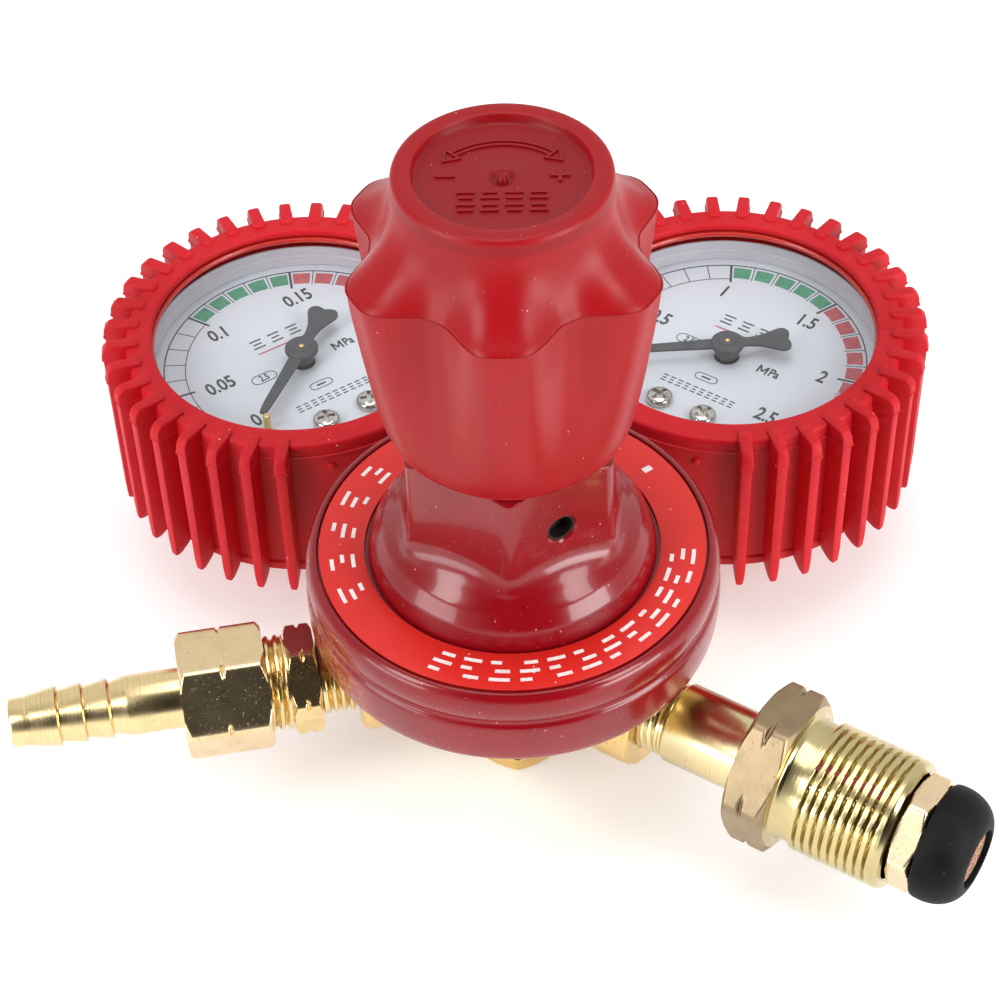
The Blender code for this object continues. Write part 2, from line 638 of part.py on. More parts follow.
def make_gauge(prefix, lean_deg):
    """A gauge whose stem is level and points at the knob axis."""
    bearing = math.radians(90.0 + lean_deg)
    centre = (GAUGE_DISTANCE * math.cos(bearing), GAUGE_DISTANCE * math.sin(bearing), 0.0)
    frame = frame_at(prefix + "_frame", centre, (0.0, 0.0, lean_deg))
    stem = frame_at(prefix + "_stem_axis", (0.0, 0.0, GAUGE_PORT_Z), (90.0, 0.0, 0.0))
    stem.parent = frame
    make_case(prefix, frame, stem)
    make_boot(prefix, frame)
    make_dial(prefix, frame)
    make_socket(prefix, frame, stem)
    make_movement(prefix, frame)
    make_pointer(prefix, frame)


clear_scene()
PARTS = new_collection("gas_regulator")
CUTTERS = new_collection("cutters")
WORLD = frame_at("knob_axis", (0.0, 0.0, 0.0), (0.0, 0.0, 0.0))
PORTS = {
    name: frame_at(name + "_port_axis", (0, 0, height), (0, 90, bearing))
    for name, (bearing, height) in PORT_PLACES.items()
}
make_body(WORLD, PORTS)
make_back_plug(WORLD)
make_bonnet(WORLD)
make_diaphragm_stack(WORLD)
make_valve(WORLD)
make_adjusting_gear(WORLD)
make_knob(WORLD)
make_inlet(PORTS["inlet"])
make_outlet(PORTS["outlet"])
make_gauge("low_gauge", GAUGE_LEAN)
make_gauge("high_gauge", -GAUGE_LEAN)
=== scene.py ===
"""Looks of a two-gauge gas regulator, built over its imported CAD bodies.

Shapes are worked out in millimetres, in the frame of the axis they turn about,
and each piece is moved to the row frame and scaled to metres as it is made.
"""

import math

import bmesh
import bpy
from mathutils import Matrix, Vector


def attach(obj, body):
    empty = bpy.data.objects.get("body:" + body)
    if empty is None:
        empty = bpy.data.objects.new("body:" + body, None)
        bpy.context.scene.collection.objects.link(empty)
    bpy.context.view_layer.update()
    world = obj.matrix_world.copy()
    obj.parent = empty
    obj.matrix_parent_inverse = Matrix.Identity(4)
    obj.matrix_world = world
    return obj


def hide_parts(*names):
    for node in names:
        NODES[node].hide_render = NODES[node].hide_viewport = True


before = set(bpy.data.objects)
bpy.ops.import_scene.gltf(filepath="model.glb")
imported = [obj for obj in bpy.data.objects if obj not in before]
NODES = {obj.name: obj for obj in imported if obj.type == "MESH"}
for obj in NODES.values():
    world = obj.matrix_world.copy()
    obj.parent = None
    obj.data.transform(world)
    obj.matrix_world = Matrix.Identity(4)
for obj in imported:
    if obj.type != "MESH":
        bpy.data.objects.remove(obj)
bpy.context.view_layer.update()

MM = 0.001
STEPS = 144
WELD = 1e-4
SHARP_DEG = 40.0

# Places of the ports and gauges, as in the CAD model
PORT_Z = 23.7
GAUGE_PORT_Z = 19.5
INLET_BEARING = -32.0
OUTLET_BEARING = 190.7
GAUGE_LEAN = 33.0
GAUGE_DISTANCE = 70.07
BOSS_R = 9.9
GAUGE_BOSS_R = 8.9
BOSS_END = 27.0
ZERO_DEG = 221.0
DIAL_Z = 35.0
INK_LOW = DIAL_Z - 0.02
INK_HIGH = DIAL_Z + 0.03

# Pitch of the left-hand nut threads, and of the threads that screw into the body
NUT_PITCH = 1.5
PORT_PITCH = 1.34

# Distance to a hexagon's flats for a corner radius of 1, and how blunt its corners are
HEX_FLAT = math.cos(math.radians(30.0))
HEX_CORNER = 0.985

# Font size that gives figures one unit high, and how narrow the dial's figures are
FONT_SIZE = 1.38
FIGURE_WIDTH = 0.74
FIGURE_HALF_DEPTH = 0.02


# ---------------------------------------------------------------- shape helpers

def polar(radius, angle_deg):
    angle = math.radians(angle_deg)
    return radius * math.cos(angle), radius * math.sin(angle)


def arc(radius, start_deg, end_deg, count, centre=(0.0, 0.0)):
    """Points along an arc, both ends included."""
    points = []
    for step in range(count):
        x, y = polar(radius, start_deg + (end_deg - start_deg) * step / (count - 1))
        points.append((centre[0] + x, centre[1] + y))
    return points


def smoothed(points, passes=2):
    """Cut the corners of an open line of points, and keep its two ends."""
    for _ in range(passes):
        cut = [points[0]]
        for here, after in zip(points, points[1:]):
            cut.append(tuple(0.75 * a + 0.25 * b for a, b in zip(here, after)))
            cut.append(tuple(0.25 * a + 0.75 * b for a, b in zip(here, after)))
        cut.append(points[-1])
        points = cut
    return points


def rounded(profile, radius, loop=False, count=4):
    """Replace each corner of a profile with a small arc."""
    made = []
    total = len(profile)
    for index, point in enumerate(profile):
        if not loop and index in (0, total - 1):
            made.append(point)
            continue
        corner = Vector(point)
        to_last = Vector(profile[index - 1]) - corner
        to_next = Vector(profile[(index + 1) % total]) - corner
        reach = min(radius, 0.45 * to_last.length, 0.45 * to_next.length)
        start = corner + to_last.normalized() * reach
        end = corner + to_next.normalized() * reach
        for step in range(count + 1):
            t = step / count
            spot = (1 - t) ** 2 * start + 2 * t * (1 - t) * corner + t ** 2 * end
            made.append((spot.x, spot.y))
    return made


def soft_max(a, b, width):
    overlap = max(width - abs(a - b), 0.0) / width
    return max(a, b) + overlap * overlap * width / 4


def soft_min(a, b, width):
    return -soft_max(-a, -b, width)


def hexagon(corner_r, angle_deg, softness=0.35):
    """Radius of a hexagon with a corner at +Y, its corners slightly blunt."""
    offset = (angle_deg - 90.0) % 60.0 - 30.0
    flat = corner_r * HEX_FLAT / math.cos(math.radians(offset))
    return soft_min(flat, corner_r * HEX_CORNER, softness)


def spread(low, high, pitch):
    """Evenly spaced heights from low to high, both included."""
    count = max(1, round(abs(high - low) / pitch))
    return [low + (high - low) * step / count for step in range(count + 1)]


def skin(work, rings, loop=False, ends=False, slot=0):
    """Join neighbouring rings of points with faces."""
    rows = [[work.verts.new(point) for point in ring] for ring in rings]
    pairs = list(zip(rows, rows[1:]))
    if loop:
        pairs.append((rows[-1], rows[0]))
    for low, high in pairs:
        for index in range(len(low)):
            after = (index + 1) % len(low)
            work.faces.new((low[index], low[after], high[after], high[index])).material_index = slot
    if ends:
        work.faces.new(rows[0][::-1]).material_index = slot
        work.faces.new(rows[-1]).material_index = slot


def ring_of(radius, height, steps):
    """A level ring of points; its radius may be a function of the angle."""
    points = []
    for step in range(steps):
        angle_deg = 360.0 * step / steps
        x, y = polar(radius(angle_deg) if callable(radius) else radius, angle_deg)
        points.append((x, y, height))
    return points


def lathe(work, stations, loop=False, steps=STEPS, slot=0):
    """Turn (radius, height) stations about Z; a radius may be a function of the angle."""
    skin(work, [ring_of(radius, height, steps) for radius, height in stations], loop=loop, slot=slot)


def turned(stations, **how):
    """A new worked shape, turned about Z."""
    work = bmesh.new()
    lathe(work, stations, **how)
    return work


def washer(inner, outer, low, high, edge, count=4, steps=STEPS):
    """A new ring of rectangular section, its edges rounded by edge."""
    section = [(inner, low), (outer, low), (outer, high), (inner, high)]
    return turned(rounded(section, edge, loop=True, count=count), loop=True, steps=steps)


def thread_stations(crest_r, root_r, pitch, low, high, hand=1, blunt=0.35):
    """Stations of a helical thread that fades out at both ends."""
    stations = []
    for height in spread(low, high, pitch / 10):
        fade = min(1.0, (height - low) / (0.6 * pitch), (high - height) / (0.6 * pitch))

        def radius_at(angle_deg, height=height, fade=max(fade, 0.0)):
            phase = (height / pitch - hand * angle_deg / 360.0) % 1.0
            tooth = min(1.0, abs(2 * phase - 1) / (1 - blunt))
            return crest_r - (crest_r - root_r) * (1 - tooth) * fade

        stations.append((radius_at, height))
    return stations


def slab(work, outline, low, high, slot=0):
    """A flat plate with the given outline."""
    bottom = [work.verts.new((x, y, low)) for x, y in outline]
    top = [work.verts.new((x, y, high)) for x, y in outline]
    faces = [work.faces.new(bottom[::-1]), work.faces.new(top)]
    for index in range(len(outline)):
        after = (index + 1) % len(outline)
        faces.append(work.faces.new((bottom[index], bottom[after], top[after], top[index])))
    for face in faces:
        face.material_index = slot


def band(work, inner_r, outer_r, start_deg, end_deg, low, high, slot=0):
    """A flat plate shaped as part of a ring."""
    count = max(2, round(abs(end_deg - start_deg) / 2.5) + 1)
    outline = arc(outer_r, start_deg, end_deg, count) + arc(inner_r, end_deg, start_deg, count)
    slab(work, outline, low, high, slot)


def tile(work, low, high, bottom, top):
    """A flat rectangular plate between two corners."""
    slab(work, [low, (high[0], low[1]), high, (low[0], high[1])], bottom, top)


def brick(low, high, edge=0.0):
    """A new box between two corners, its edges rounded by edge."""
    low, high = Vector(low), Vector(high)
    work = bmesh.new()
    bmesh.ops.create_cube(work, size=1.0)
    bmesh.ops.scale(work, vec=high - low, verts=work.verts)
    if edge:
        bmesh.ops.bevel(work, geom=work.edges[:], offset=edge, segments=3, profile=0.5, affect="EDGES")
    bmesh.ops.translate(work, vec=(high + low) / 2, verts=work.verts)
    return work


def added(name, data):
    """A new object in the scene."""
    made = bpy.data.objects.new(name, data)
    bpy.context.scene.collection.objects.link(made)
    return made


def letters(work, text, height, centre, weight):
    """Print figures as a very thin solid, centred on a point."""
    curve = bpy.data.curves.new("figures", "FONT")
    curve.body = text
    curve.size = height * FONT_SIZE
    curve.extrude = FIGURE_HALF_DEPTH
    curve.offset = weight
    curve.align_x = "CENTER"
    curve.align_y = "CENTER"
    curve.resolution_u = 3
    holder = added("figures", curve)
    bpy.context.view_layer.update()
    mesh = bpy.data.meshes.new_from_object(holder)
    narrow = Matrix.Diagonal((FIGURE_WIDTH, 1.0, 1.0, 1.0))
    mesh.transform(shift(*centre, INK_LOW + FIGURE_HALF_DEPTH) @ narrow)
    work.from_mesh(mesh)
    bpy.data.objects.remove(holder)
    bpy.data.meshes.remove(mesh)
    bpy.data.curves.remove(curve)


def shift(x, y, z):
    return Matrix.Translation((x, y, z))


def spin(angle_deg, axis="Z"):
    return Matrix.Rotation(math.radians(angle_deg), 4, axis)


def port_axis(bearing_deg, roll_deg=0.0, height=PORT_Z):
    """Frame whose Z runs out along a port; its -X points up."""
    return shift(0.0, 0.0, height) @ spin(bearing_deg) @ spin(90.0, "Y") @ spin(roll_deg)


def gauge_axis(lean_deg):
    return shift(*polar(GAUGE_DISTANCE, 90.0 + lean_deg), 0.0) @ spin(lean_deg)


STEM_TURN = shift(0.0, 0.0, GAUGE_PORT_Z) @ spin(90.0, "X")
WORLD = Matrix.Identity(4)


def closed_mesh(name, work, place):
    """Weld a worked shape, turn its faces outwards, and make it a mesh in metres."""
    bmesh.ops.remove_doubles(work, verts=work.verts, dist=WELD)
    bmesh.ops.recalc_face_normals(work, faces=work.faces)
    mesh = bpy.data.meshes.new(name)
    work.to_mesh(mesh)
    work.free()
    mesh.transform(Matrix.Scale(MM, 4) @ place)
    return mesh


def smooth(mesh):
    mesh.shade_smooth()
    mesh.set_sharp_from_angle(angle=math.radians(SHARP_DEG))


def piece(name, work, body, finishes, node, place=WORLD, replaces=True):
    """Make a piece that rides on a body and details one CAD node, which it hides when it replaces it."""
    mesh = closed_mesh(name, work, place)
    smooth(mesh)
    for finish in finishes:
        mesh.materials.append(finish)
    made = added(name, mesh)
    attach(made, body)
    if replaces:
        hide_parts(node)
    return made


def bake_modifiers(made):
    """Replace a piece's mesh with what its modifiers make of it."""
    bpy.context.view_layer.update()
    graph = bpy.context.evaluated_depsgraph_get()
    mesh = bpy.data.meshes.new_from_object(made.evaluated_get(graph))
    made.modifiers.clear()
    made.data = mesh
    smooth(mesh)


def join(work, part):
    """Add a part to a worked shape."""
    mesh = bpy.data.meshes.new("part")
    part.to_mesh(mesh)
    part.free()
    work.from_mesh(mesh)
    bpy.data.meshes.remove(mesh)


def carve(made, work, place=WORLD, operation="DIFFERENCE"):
    """Cut a worked shape out of a piece, or join it on."""
    tool = added("tool", closed_mesh("tool", work, place))
    step = made.modifiers.new("Carve", "BOOLEAN")
    step.operation = operation
    step.solver = "EXACT"
    step.object = tool
    bake_modifiers(made)
    bpy.data.objects.remove(tool)


# ---------------------------------------------------------------- finishes

CRIMSON = (0.225, 0.002, 0.006)
BRASS = (0.80, 0.56, 0.22)
PALE_GOLD = (0.74, 0.64, 0.36)


UPWARDS = (0.0, 0.0, 1.0)
WHITE = (1.0, 1.0, 1.0, 1.0)
COAT_ROUGHNESS = 0.06
PAINT_MIST = (0.20, 0.002, 0.003)


class Graph:
    """The nodes of a material or a world."""

    def __init__(self, owner):
        owner.use_nodes = True
        self.owner = owner
        self.tree = owner.node_tree

    def add(self, kind, inputs, **settings):
        """A node, with its inputs set to numbers or linked to sockets."""
        made = self.tree.nodes.new("ShaderNode" + kind)
        for name, value in settings.items():
            setattr(made, name, value)
        for key, value in inputs.items():
            self.feed(made.inputs[key], value)
        return made

    def feed(self, socket, value):
        if isinstance(value, bpy.types.NodeSocket):
            self.tree.links.new(value, socket)
        else:
            socket.default_value = value

    def ramp(self, value, start, end, low=0.0, high=1.0):
        """low before start, high past end, smooth between."""
        inputs = {"Value": value, "From Min": start, "From Max": end, "To Min": low, "To Max": high}
        return self.add("MapRange", inputs, interpolation_type="SMOOTHSTEP").outputs["Result"]

    def math(self, operation, *values):
        return self.add("Math", dict(enumerate(values)), operation=operation).outputs["Value"]

    def part(self, vector, axis):
        """How far a vector reaches along an axis."""
        return self.add("VectorMath", {0: vector, 1: axis}, operation="DOT_PRODUCT").outputs["Value"]


class Surface(Graph):
    """A procedural finish built up in layers, read in the piece's own space."""

    def __init__(self, name, colour, roughness, metallic=0.0, coat=0.0, specular=0.5):
        super().__init__(bpy.data.materials.new(name))
        self.shader = self.tree.nodes["Principled BSDF"]
        coordinates = self.add("TexCoord", {})
        self.place = coordinates.outputs["Object"]
        self.normal = coordinates.outputs["Normal"]
        self.colour = (*colour, 1.0)
        self.roughness = roughness
        self.metallic = metallic
        self.bump = None
        self.shader.inputs["Specular IOR Level"].default_value = specular
        if coat:
            self.shader.inputs["Coat Weight"].default_value = coat
            self.shader.inputs["Coat Roughness"].default_value = COAT_ROUGHNESS

    def noise(self, scale, detail=3.0):
        return self.add("TexNoise", {"Vector": self.place, "Scale": scale, "Detail": detail}).outputs["Fac"]

    def along(self, axis, start, end):
        """0 to 1 between two distances along an axis."""
        return self.ramp(self.part(self.place, axis), start, end)

    def blend(self, mask, below, above, kind="FLOAT"):
        low, high, out = (6, 7, 2) if kind == "RGBA" else (2, 3, 0)
        return self.add("Mix", {0: mask, low: below, high: above}, data_type=kind).outputs[out]

    def layer(self, mask, colour=None, roughness=None, metallic=None):
        """Lay another finish over the one below, where the mask is 1."""
        if colour is not None:
            self.colour = self.blend(mask, self.colour, (*colour, 1.0), "RGBA")
        if roughness is not None:
            self.roughness = self.blend(mask, self.roughness, roughness)
        if metallic is not None:
            self.metallic = self.blend(mask, self.metallic, metallic)

    def relief(self, height, depth_mm):
        inputs = {"Height": height, "Distance": depth_mm * MM, "Strength": 1.0}
        if self.bump is not None:
            inputs["Normal"] = self.bump
        self.bump = self.add("Bump", inputs).outputs["Normal"]

    def clouds(self, scale, colour, roughness=None, low=0.4, high=0.7):
        self.layer(self.ramp(self.noise(scale), low, high), colour, roughness)

    def stains(self, scale, low, high, colour, roughness, metallic=None):
        """Small ragged patches."""
        self.layer(self.ramp(self.noise(scale, 6.0), low, high), colour, roughness, metallic)

    def grain(self, scale, depth_mm, detail=2.0):
        self.relief(self.noise(scale, detail), depth_mm)

    def dust(self, scale, size, share, colour=(0.75, 0.45, 0.42), roughness=0.75):
        """Scattered specks, denser in some places than in others."""
        cell = self.add("TexVoronoi", {"Vector": self.place, "Scale": scale})
        near = self.ramp(cell.outputs["Distance"], size, size * 0.55)
        chosen = self.add("SeparateColor", {"Color": cell.outputs["Color"]}).outputs["Red"]
        patchy = self.math("MULTIPLY", self.noise(90.0), share * 2.0)
        here = self.math("LESS_THAN", chosen, patchy)
        self.layer(self.math("MULTIPLY", near, here), colour, roughness, 0.0)

    def turned_marks(self, axis, scale, depth_mm, colour, share=0.5):
        """Fine rings left by the cutting tool, square to an axis."""
        inputs = {"W": self.part(self.place, axis), "Scale": scale, "Detail": 3.0}
        rings = self.add("TexNoise", inputs, noise_dimensions="1D").outputs["Fac"]
        self.relief(rings, depth_mm)
        self.layer(self.math("MULTIPLY", self.ramp(rings, 0.45, 0.75), share), colour)

    def scratches(self, axis, depth_mm):
        """Short fine scratches that run about an axis."""
        inputs = {"Vector": self.place, "Axis": axis, "Angle": 0.35}
        slanted = self.add("VectorRotate", inputs).outputs["Vector"]
        long = self.add("Mapping", {"Vector": slanted, "Scale": (1.0, 1.0, 0.12)}).outputs["Vector"]
        cut = self.add("TexNoise", {"Vector": long, "Scale": 2100.0, "Detail": 2.0}).outputs["Fac"]
        self.relief(self.ramp(cut, 0.62, 0.72), -depth_mm)

    def overspray(self, start, full, where=1.0):
        """Paint mist that settled on what faces up."""
        up = self.ramp(self.part(self.normal, UPWARDS), start, full)
        ragged = self.math("ADD", up, self.math("SUBTRACT", self.noise(520.0, 6.0), 0.5))
        mist = self.math("MULTIPLY", self.ramp(ragged, 0.5, 0.66), where)
        self.layer(mist, PAINT_MIST, 0.5, 0.0)

    def done(self):
        self.feed(self.shader.inputs["Base Color"], self.colour)
        self.feed(self.shader.inputs["Roughness"], self.roughness)
        self.feed(self.shader.inputs["Metallic"], self.metallic)
        if self.bump is not None:
            self.feed(self.shader.inputs["Normal"], self.bump)
        return self.owner


def toned(colour, share):
    return tuple(share * value for value in colour)


def layered(name, colour, roughness, clouds, grains, dusts=(), metallic=0.0, specular=0.5):
    """A finish of clouded colour, with fine grain and scattered specks."""
    look = Surface(name, colour, roughness, metallic, specular=specular)
    for cloud in clouds:
        look.clouds(*cloud)
    for grain in grains:
        look.grain(*grain)
    for dust in dusts:
        look.dust(*dust)
    return look.done()


def knob_plastic():
    look = Surface("knob_plastic", (0.305, 0.003, 0.006), 0.34, specular=0.24)
    look.clouds(45.0, (0.28, 0.003, 0.005), 0.42)
    look.clouds(260.0, (0.325, 0.005, 0.009), 0.34, 0.55, 0.8)
    # Painted shade: the floor of the top recess is coloured darker than the rest of the knob.
    recess_shade = look.math("MULTIPLY", look.along(UPWARDS, 0.1243, 0.1232), look.along(UPWARDS, 0.1218, 0.1222))
    look.layer(recess_shade, (0.235, 0.003, 0.006), 0.4)
    look.grain(2600.0, 0.006)
    look.grain(60.0, 0.04)
    look.dust(900.0, 0.12, 0.03)
    look.dust(1900.0, 0.13, 0.04)
    return look.done()


def bonnet_paint():
    """Glossy enamel over brass, rubbed through low on the outlet side."""
    look = Surface("bonnet_paint", CRIMSON, 0.22, coat=0.3, specular=0.3)
    look.clouds(70.0, (0.19, 0.002, 0.005), 0.28)
    look.clouds(420.0, (0.275, 0.005, 0.010), None, 0.6, 0.85)
    look.grain(330.0, 0.012)
    look.grain(1300.0, 0.002)
    towards = look.along((-0.93, -0.36, 0.0), 0.0290, 0.0335)
    low_down = look.along(UPWARDS, 0.0460, 0.0380)
    ragged = look.ramp(look.noise(900.0, 8.0), 0.40, 0.62)
    patch = look.math("MULTIPLY", look.math("MULTIPLY", towards, low_down), ragged)
    look.layer(patch, (0.42, 0.17, 0.055), 0.45, 0.55)
    look.dust(800.0, 0.15, 0.05, (0.50, 0.24, 0.20))
    look.dust(2000.0, 0.18, 0.06, (0.45, 0.20, 0.16))
    return look.done()


def gauge_paint():
    look = Surface("gauge_paint", (0.50, 0.020, 0.012), 0.22, coat=0.5)
    look.clouds(110.0, (0.42, 0.010, 0.012), 0.3)
    look.grain(400.0, 0.012)
    look.stains(330.0, 0.70, 0.74, (0.62, 0.40, 0.15), 0.3, 1.0)
    return look.done()


def machined(name, axis, colour=BRASS, roughness=0.2):
    look = Surface(name, colour, roughness, 1.0)
    look.clouds(190.0, toned(colour, 0.88), roughness + 0.08)
    look.turned_marks(axis, 3600.0, 0.010, toned(colour, 0.74))
    look.stains(520.0, 0.70, 0.78, (0.42, 0.24, 0.10), 0.45)
    look.grain(2400.0, 0.002)
    return look


def fitting_brass(name, bearing_deg, reach, paint):
    """Turned brass; paint mist settled on its upper side, only this near to the body."""
    axis = (*polar(1.0, bearing_deg), 0.0)
    look = machined(name, axis, (0.82, 0.64, 0.33), 0.22)
    look.overspray(*paint, where=look.along(axis, (reach + 1.5) * MM, (reach - 1.5) * MM))
    return look.done()


def forged_brass(name, colour, dark, mist, bearing_deg, roughness=0.24):
    """Hexagon flats: drawn smooth, then scratched, stained in places and misted with paint on top."""
    look = Surface(name, colour, roughness, 1.0)
    look.clouds(230.0, toned(colour, 0.88), roughness + 0.03)
    look.clouds(1500.0, dark, roughness + 0.2, 0.64, 0.80)
    look.scratches((*polar(1.0, bearing_deg), 0.0), 0.012)
    look.grain(2600.0, 0.007, 5.0)
    look.dust(1500.0, 0.16, 0.12, (0.62, 0.52, 0.32), 0.35)
    look.overspray(*mist)
    return look.done()


def plated_steel(name, mist, colour=PALE_GOLD):
    look = Surface(name, colour, 0.18, 1.0)
    look.clouds(150.0, toned(colour, 0.88), 0.26)
    look.turned_marks((*polar(1.0, INLET_BEARING), 0.0), 3000.0, 0.005, (0.60, 0.47, 0.25), 0.4)
    look.clouds(1300.0, (0.42, 0.30, 0.16), 0.4, 0.68, 0.82)
    look.grain(1900.0, 0.003)
    look.overspray(*mist)
    return look.done()


def cast_brass():
    look = Surface("cast_brass", (0.74, 0.52, 0.22), 0.34, 1.0)
    look.clouds(140.0, (0.60, 0.40, 0.16), 0.46)
    look.clouds(900.0, (0.50, 0.30, 0.12), 0.5, 0.62, 0.8)
    look.grain(800.0, 0.03, 5.0)
    look.overspray(0.75, 1.15)
    return look.done()


def sintered_bronze():
    look = Surface("sintered_bronze", (0.60, 0.33, 0.20), 0.5, 0.85)
    cell = look.add("TexVoronoi", {"Vector": look.place, "Scale": 2300.0})
    look.relief(look.math("SUBTRACT", 1.0, cell.outputs["Distance"]), 0.25)
    # Painted shade: the low gaps between the domed grains are coloured dark brown.
    look.layer(look.ramp(cell.outputs["Distance"], 0.42, 0.7), (0.12, 0.05, 0.03), 0.7)
    return look.done()


def print_ink(name, colour):
    brighter = tuple(min(1.0, 1.25 * value + 0.01) for value in colour)
    return layered(name, colour, 0.5, [(900.0, brighter)], [(2500.0, 0.002)])


def window_glass():
    """A thin clear pane: it lets light straight through and shines at a slant."""
    glass = Graph(bpy.data.materials.new("window_glass"))
    nodes = glass.tree.nodes
    nodes.remove(nodes["Principled BSDF"])
    clear = glass.add("BsdfTransparent", {"Color": (0.965, 0.975, 0.985, 1.0)}).outputs["BSDF"]
    shine = glass.add("BsdfGlossy", {"Roughness": 0.03}).outputs["BSDF"]
    facing = glass.add("LayerWeight", {"Blend": 0.5}).outputs["Facing"]
    share = glass.math("MULTIPLY_ADD", glass.math("POWER", facing, 5.0), 0.9, 0.03)
    both = glass.add("MixShader", {0: share, 1: clear, 2: shine}).outputs["Shader"]
    glass.feed(nodes["Material Output"].inputs["Surface"], both)
    return glass.owner


KNOB_PLASTIC = knob_plastic()
BONNET_PAINT = bonnet_paint()
GAUGE_PAINT = gauge_paint()
TURNED_BRASS = machined("turned_brass", UPWARDS).done()
OUTLET_BRASS = fitting_brass("outlet_brass", OUTLET_BEARING, 34.0, (0.55, 0.95))
TAIL_BRASS = fitting_brass("tail_brass", OUTLET_BEARING, 57.0, (0.85, 1.2))
NUT_BRASS = forged_brass("nut_brass", (0.80, 0.62, 0.36), (0.46, 0.30, 0.14), (0.92, 1.12), OUTLET_BEARING)
COLLAR_BRASS = forged_brass("collar_brass", (0.82, 0.62, 0.30), (0.40, 0.27, 0.12), (0.80, 0.93),
                            OUTLET_BEARING)
NIPPLE_BRASS = forged_brass("nipple_brass", (0.86, 0.67, 0.42), (0.56, 0.32, 0.15), (1.2, 1.4),
                            INLET_BEARING, 0.26)
NUT_FLATS = forged_brass("nut_flats", (0.35, 0.262, 0.155), (0.25, 0.14, 0.07), (0.93, 1.32),
                         INLET_BEARING, 0.42)
INLET_PLATING = plated_steel("inlet_plating", (0.93, 1.08))
NUT_PLATING = plated_steel("nut_plating", (1.2, 1.4), (0.60, 0.50, 0.25))
CAST_BRASS = cast_brass()
SINTERED = sintered_bronze()
WINDOW_GLASS = window_glass()
DARK_INK = print_ink("dark_ink", (0.040, 0.042, 0.050))
GREEN_INK = print_ink("green_ink", (0.075, 0.30, 0.165))
RED_INK = print_ink("red_ink", (0.50, 0.090, 0.100))

# Clouds: scale, colour, roughness and limits. Grains: scale and depth. Dusts: scale, size, share, colour.
BOOT_RUBBER = layered(
    "boot_rubber", (0.54, 0.008, 0.016), 0.46,
    [(55.0, (0.48, 0.006, 0.012), 0.55), (500.0, (0.58, 0.014, 0.024), None, 0.55, 0.8)],
    [(1900.0, 0.012), (160.0, 0.03)], [(700.0, 0.13, 0.04, (0.75, 0.38, 0.38))], specular=0.2)
LABEL_FILM = layered(
    "label_film", (0.63, 0.018, 0.012), 0.34, [(60.0, (0.58, 0.012, 0.009), 0.4)],
    [(900.0, 0.004)], [(900.0, 0.16, 0.08, (0.8, 0.5, 0.45))], specular=0.35)
BLACK_RUBBER = layered(
    "black_rubber", (0.005, 0.005, 0.0055), 0.5, [(120.0, (0.010, 0.010, 0.0105), 0.6)],
    [(900.0, 0.008)], [(1100.0, 0.13, 0.12, (0.09, 0.09, 0.09))], specular=0.10)
DIAL_ENAMEL = layered(
    "dial_enamel", (0.75, 0.765, 0.80), 0.42, [(60.0, (0.725, 0.74, 0.775), 0.5)],
    [(2200.0, 0.002)], [(500.0, 0.08, 0.03, (0.40, 0.41, 0.50))])
LABEL_INK = layered("label_ink", (0.82, 0.80, 0.79), 0.35, [(700.0, (0.74, 0.66, 0.64))], [(1500.0, 0.003)])
RED_PAINT = layered("paint_mark", (0.17, 0.004, 0.003), 0.6, [(900.0, (0.10, 0.004, 0.003), 0.7)],
                    [(1500.0, 0.02)])
STEEL = layered("spring_steel", (0.46, 0.46, 0.47), 0.3, [(400.0, (0.33, 0.33, 0.34), 0.42)],
                [(1800.0, 0.008)], metallic=1.0)
NICKEL = layered("nickel", (0.66, 0.62, 0.55), 0.16, [(900.0, (0.40, 0.36, 0.31), 0.3)],
                 [(1300.0, 0.02)], metallic=1.0)
RIM_ENAMEL = layered("rim_enamel", (0.70, 0.695, 0.73), 0.35, [(80.0, (0.65, 0.64, 0.68), 0.45)],
                     [(900.0, 0.006)])
SHADOWED_BORE = layered("shadowed_bore", (0.010, 0.004, 0.004), 0.6, [(900.0, (0.020, 0.006, 0.006))],
                        [(1500.0, 0.02)])
ACETAL = layered("acetal", (0.020, 0.020, 0.021), 0.35, [(300.0, (0.032, 0.032, 0.034), 0.45)],
                 [(1800.0, 0.004)])
POINTER_PAINT = layered("pointer_paint", (0.055, 0.054, 0.054), 0.42,
                        [(500.0, (0.080, 0.078, 0.076), 0.55)], [(1600.0, 0.006)])


# ---------------------------------------------------------------- knob

KNOB_PARTING_Z = 111.0
# Height, radius on a lobe and radius in a flute
KNOB_WALL = [(77.9, 18.45, 18.2), (80.5, 19.7, 18.7), (88.0, 21.3, 19.0), (99.0, 23.0, 19.2),
             (108.0, 24.2, 19.3), (KNOB_PARTING_Z, 24.4, 19.3)]
KNOB_FLARE = [(KNOB_PARTING_Z, 24.4, 19.3), (111.5, 23.9, 19.1), (112.4, 22.5, 18.5), (113.8, 20.8, 17.8),
              (116.0, 18.6, 16.9), (119.0, 16.8, 16.2), (122.0, 16.05, 15.95), (123.7, 15.85, 15.85)]
RECESS_FLOOR = 123.1


def lobe_share(angle_deg):
    """1 on a lobe, 0 in a flute; a lobe points at -Y."""
    offset = abs((angle_deg + 120.0) % 60.0 - 30.0)
    fade = min(max((offset - 4.0) / 24.0, 0.0), 1.0)
    return 0.5 * (1.0 + math.cos(math.pi * fade))


def knob_station(height, lobe_r, flute_r, extra=0.0):
    def radius_at(angle_deg):
        return flute_r + (lobe_r - flute_r) * lobe_share(angle_deg) + extra
    return radius_at, height


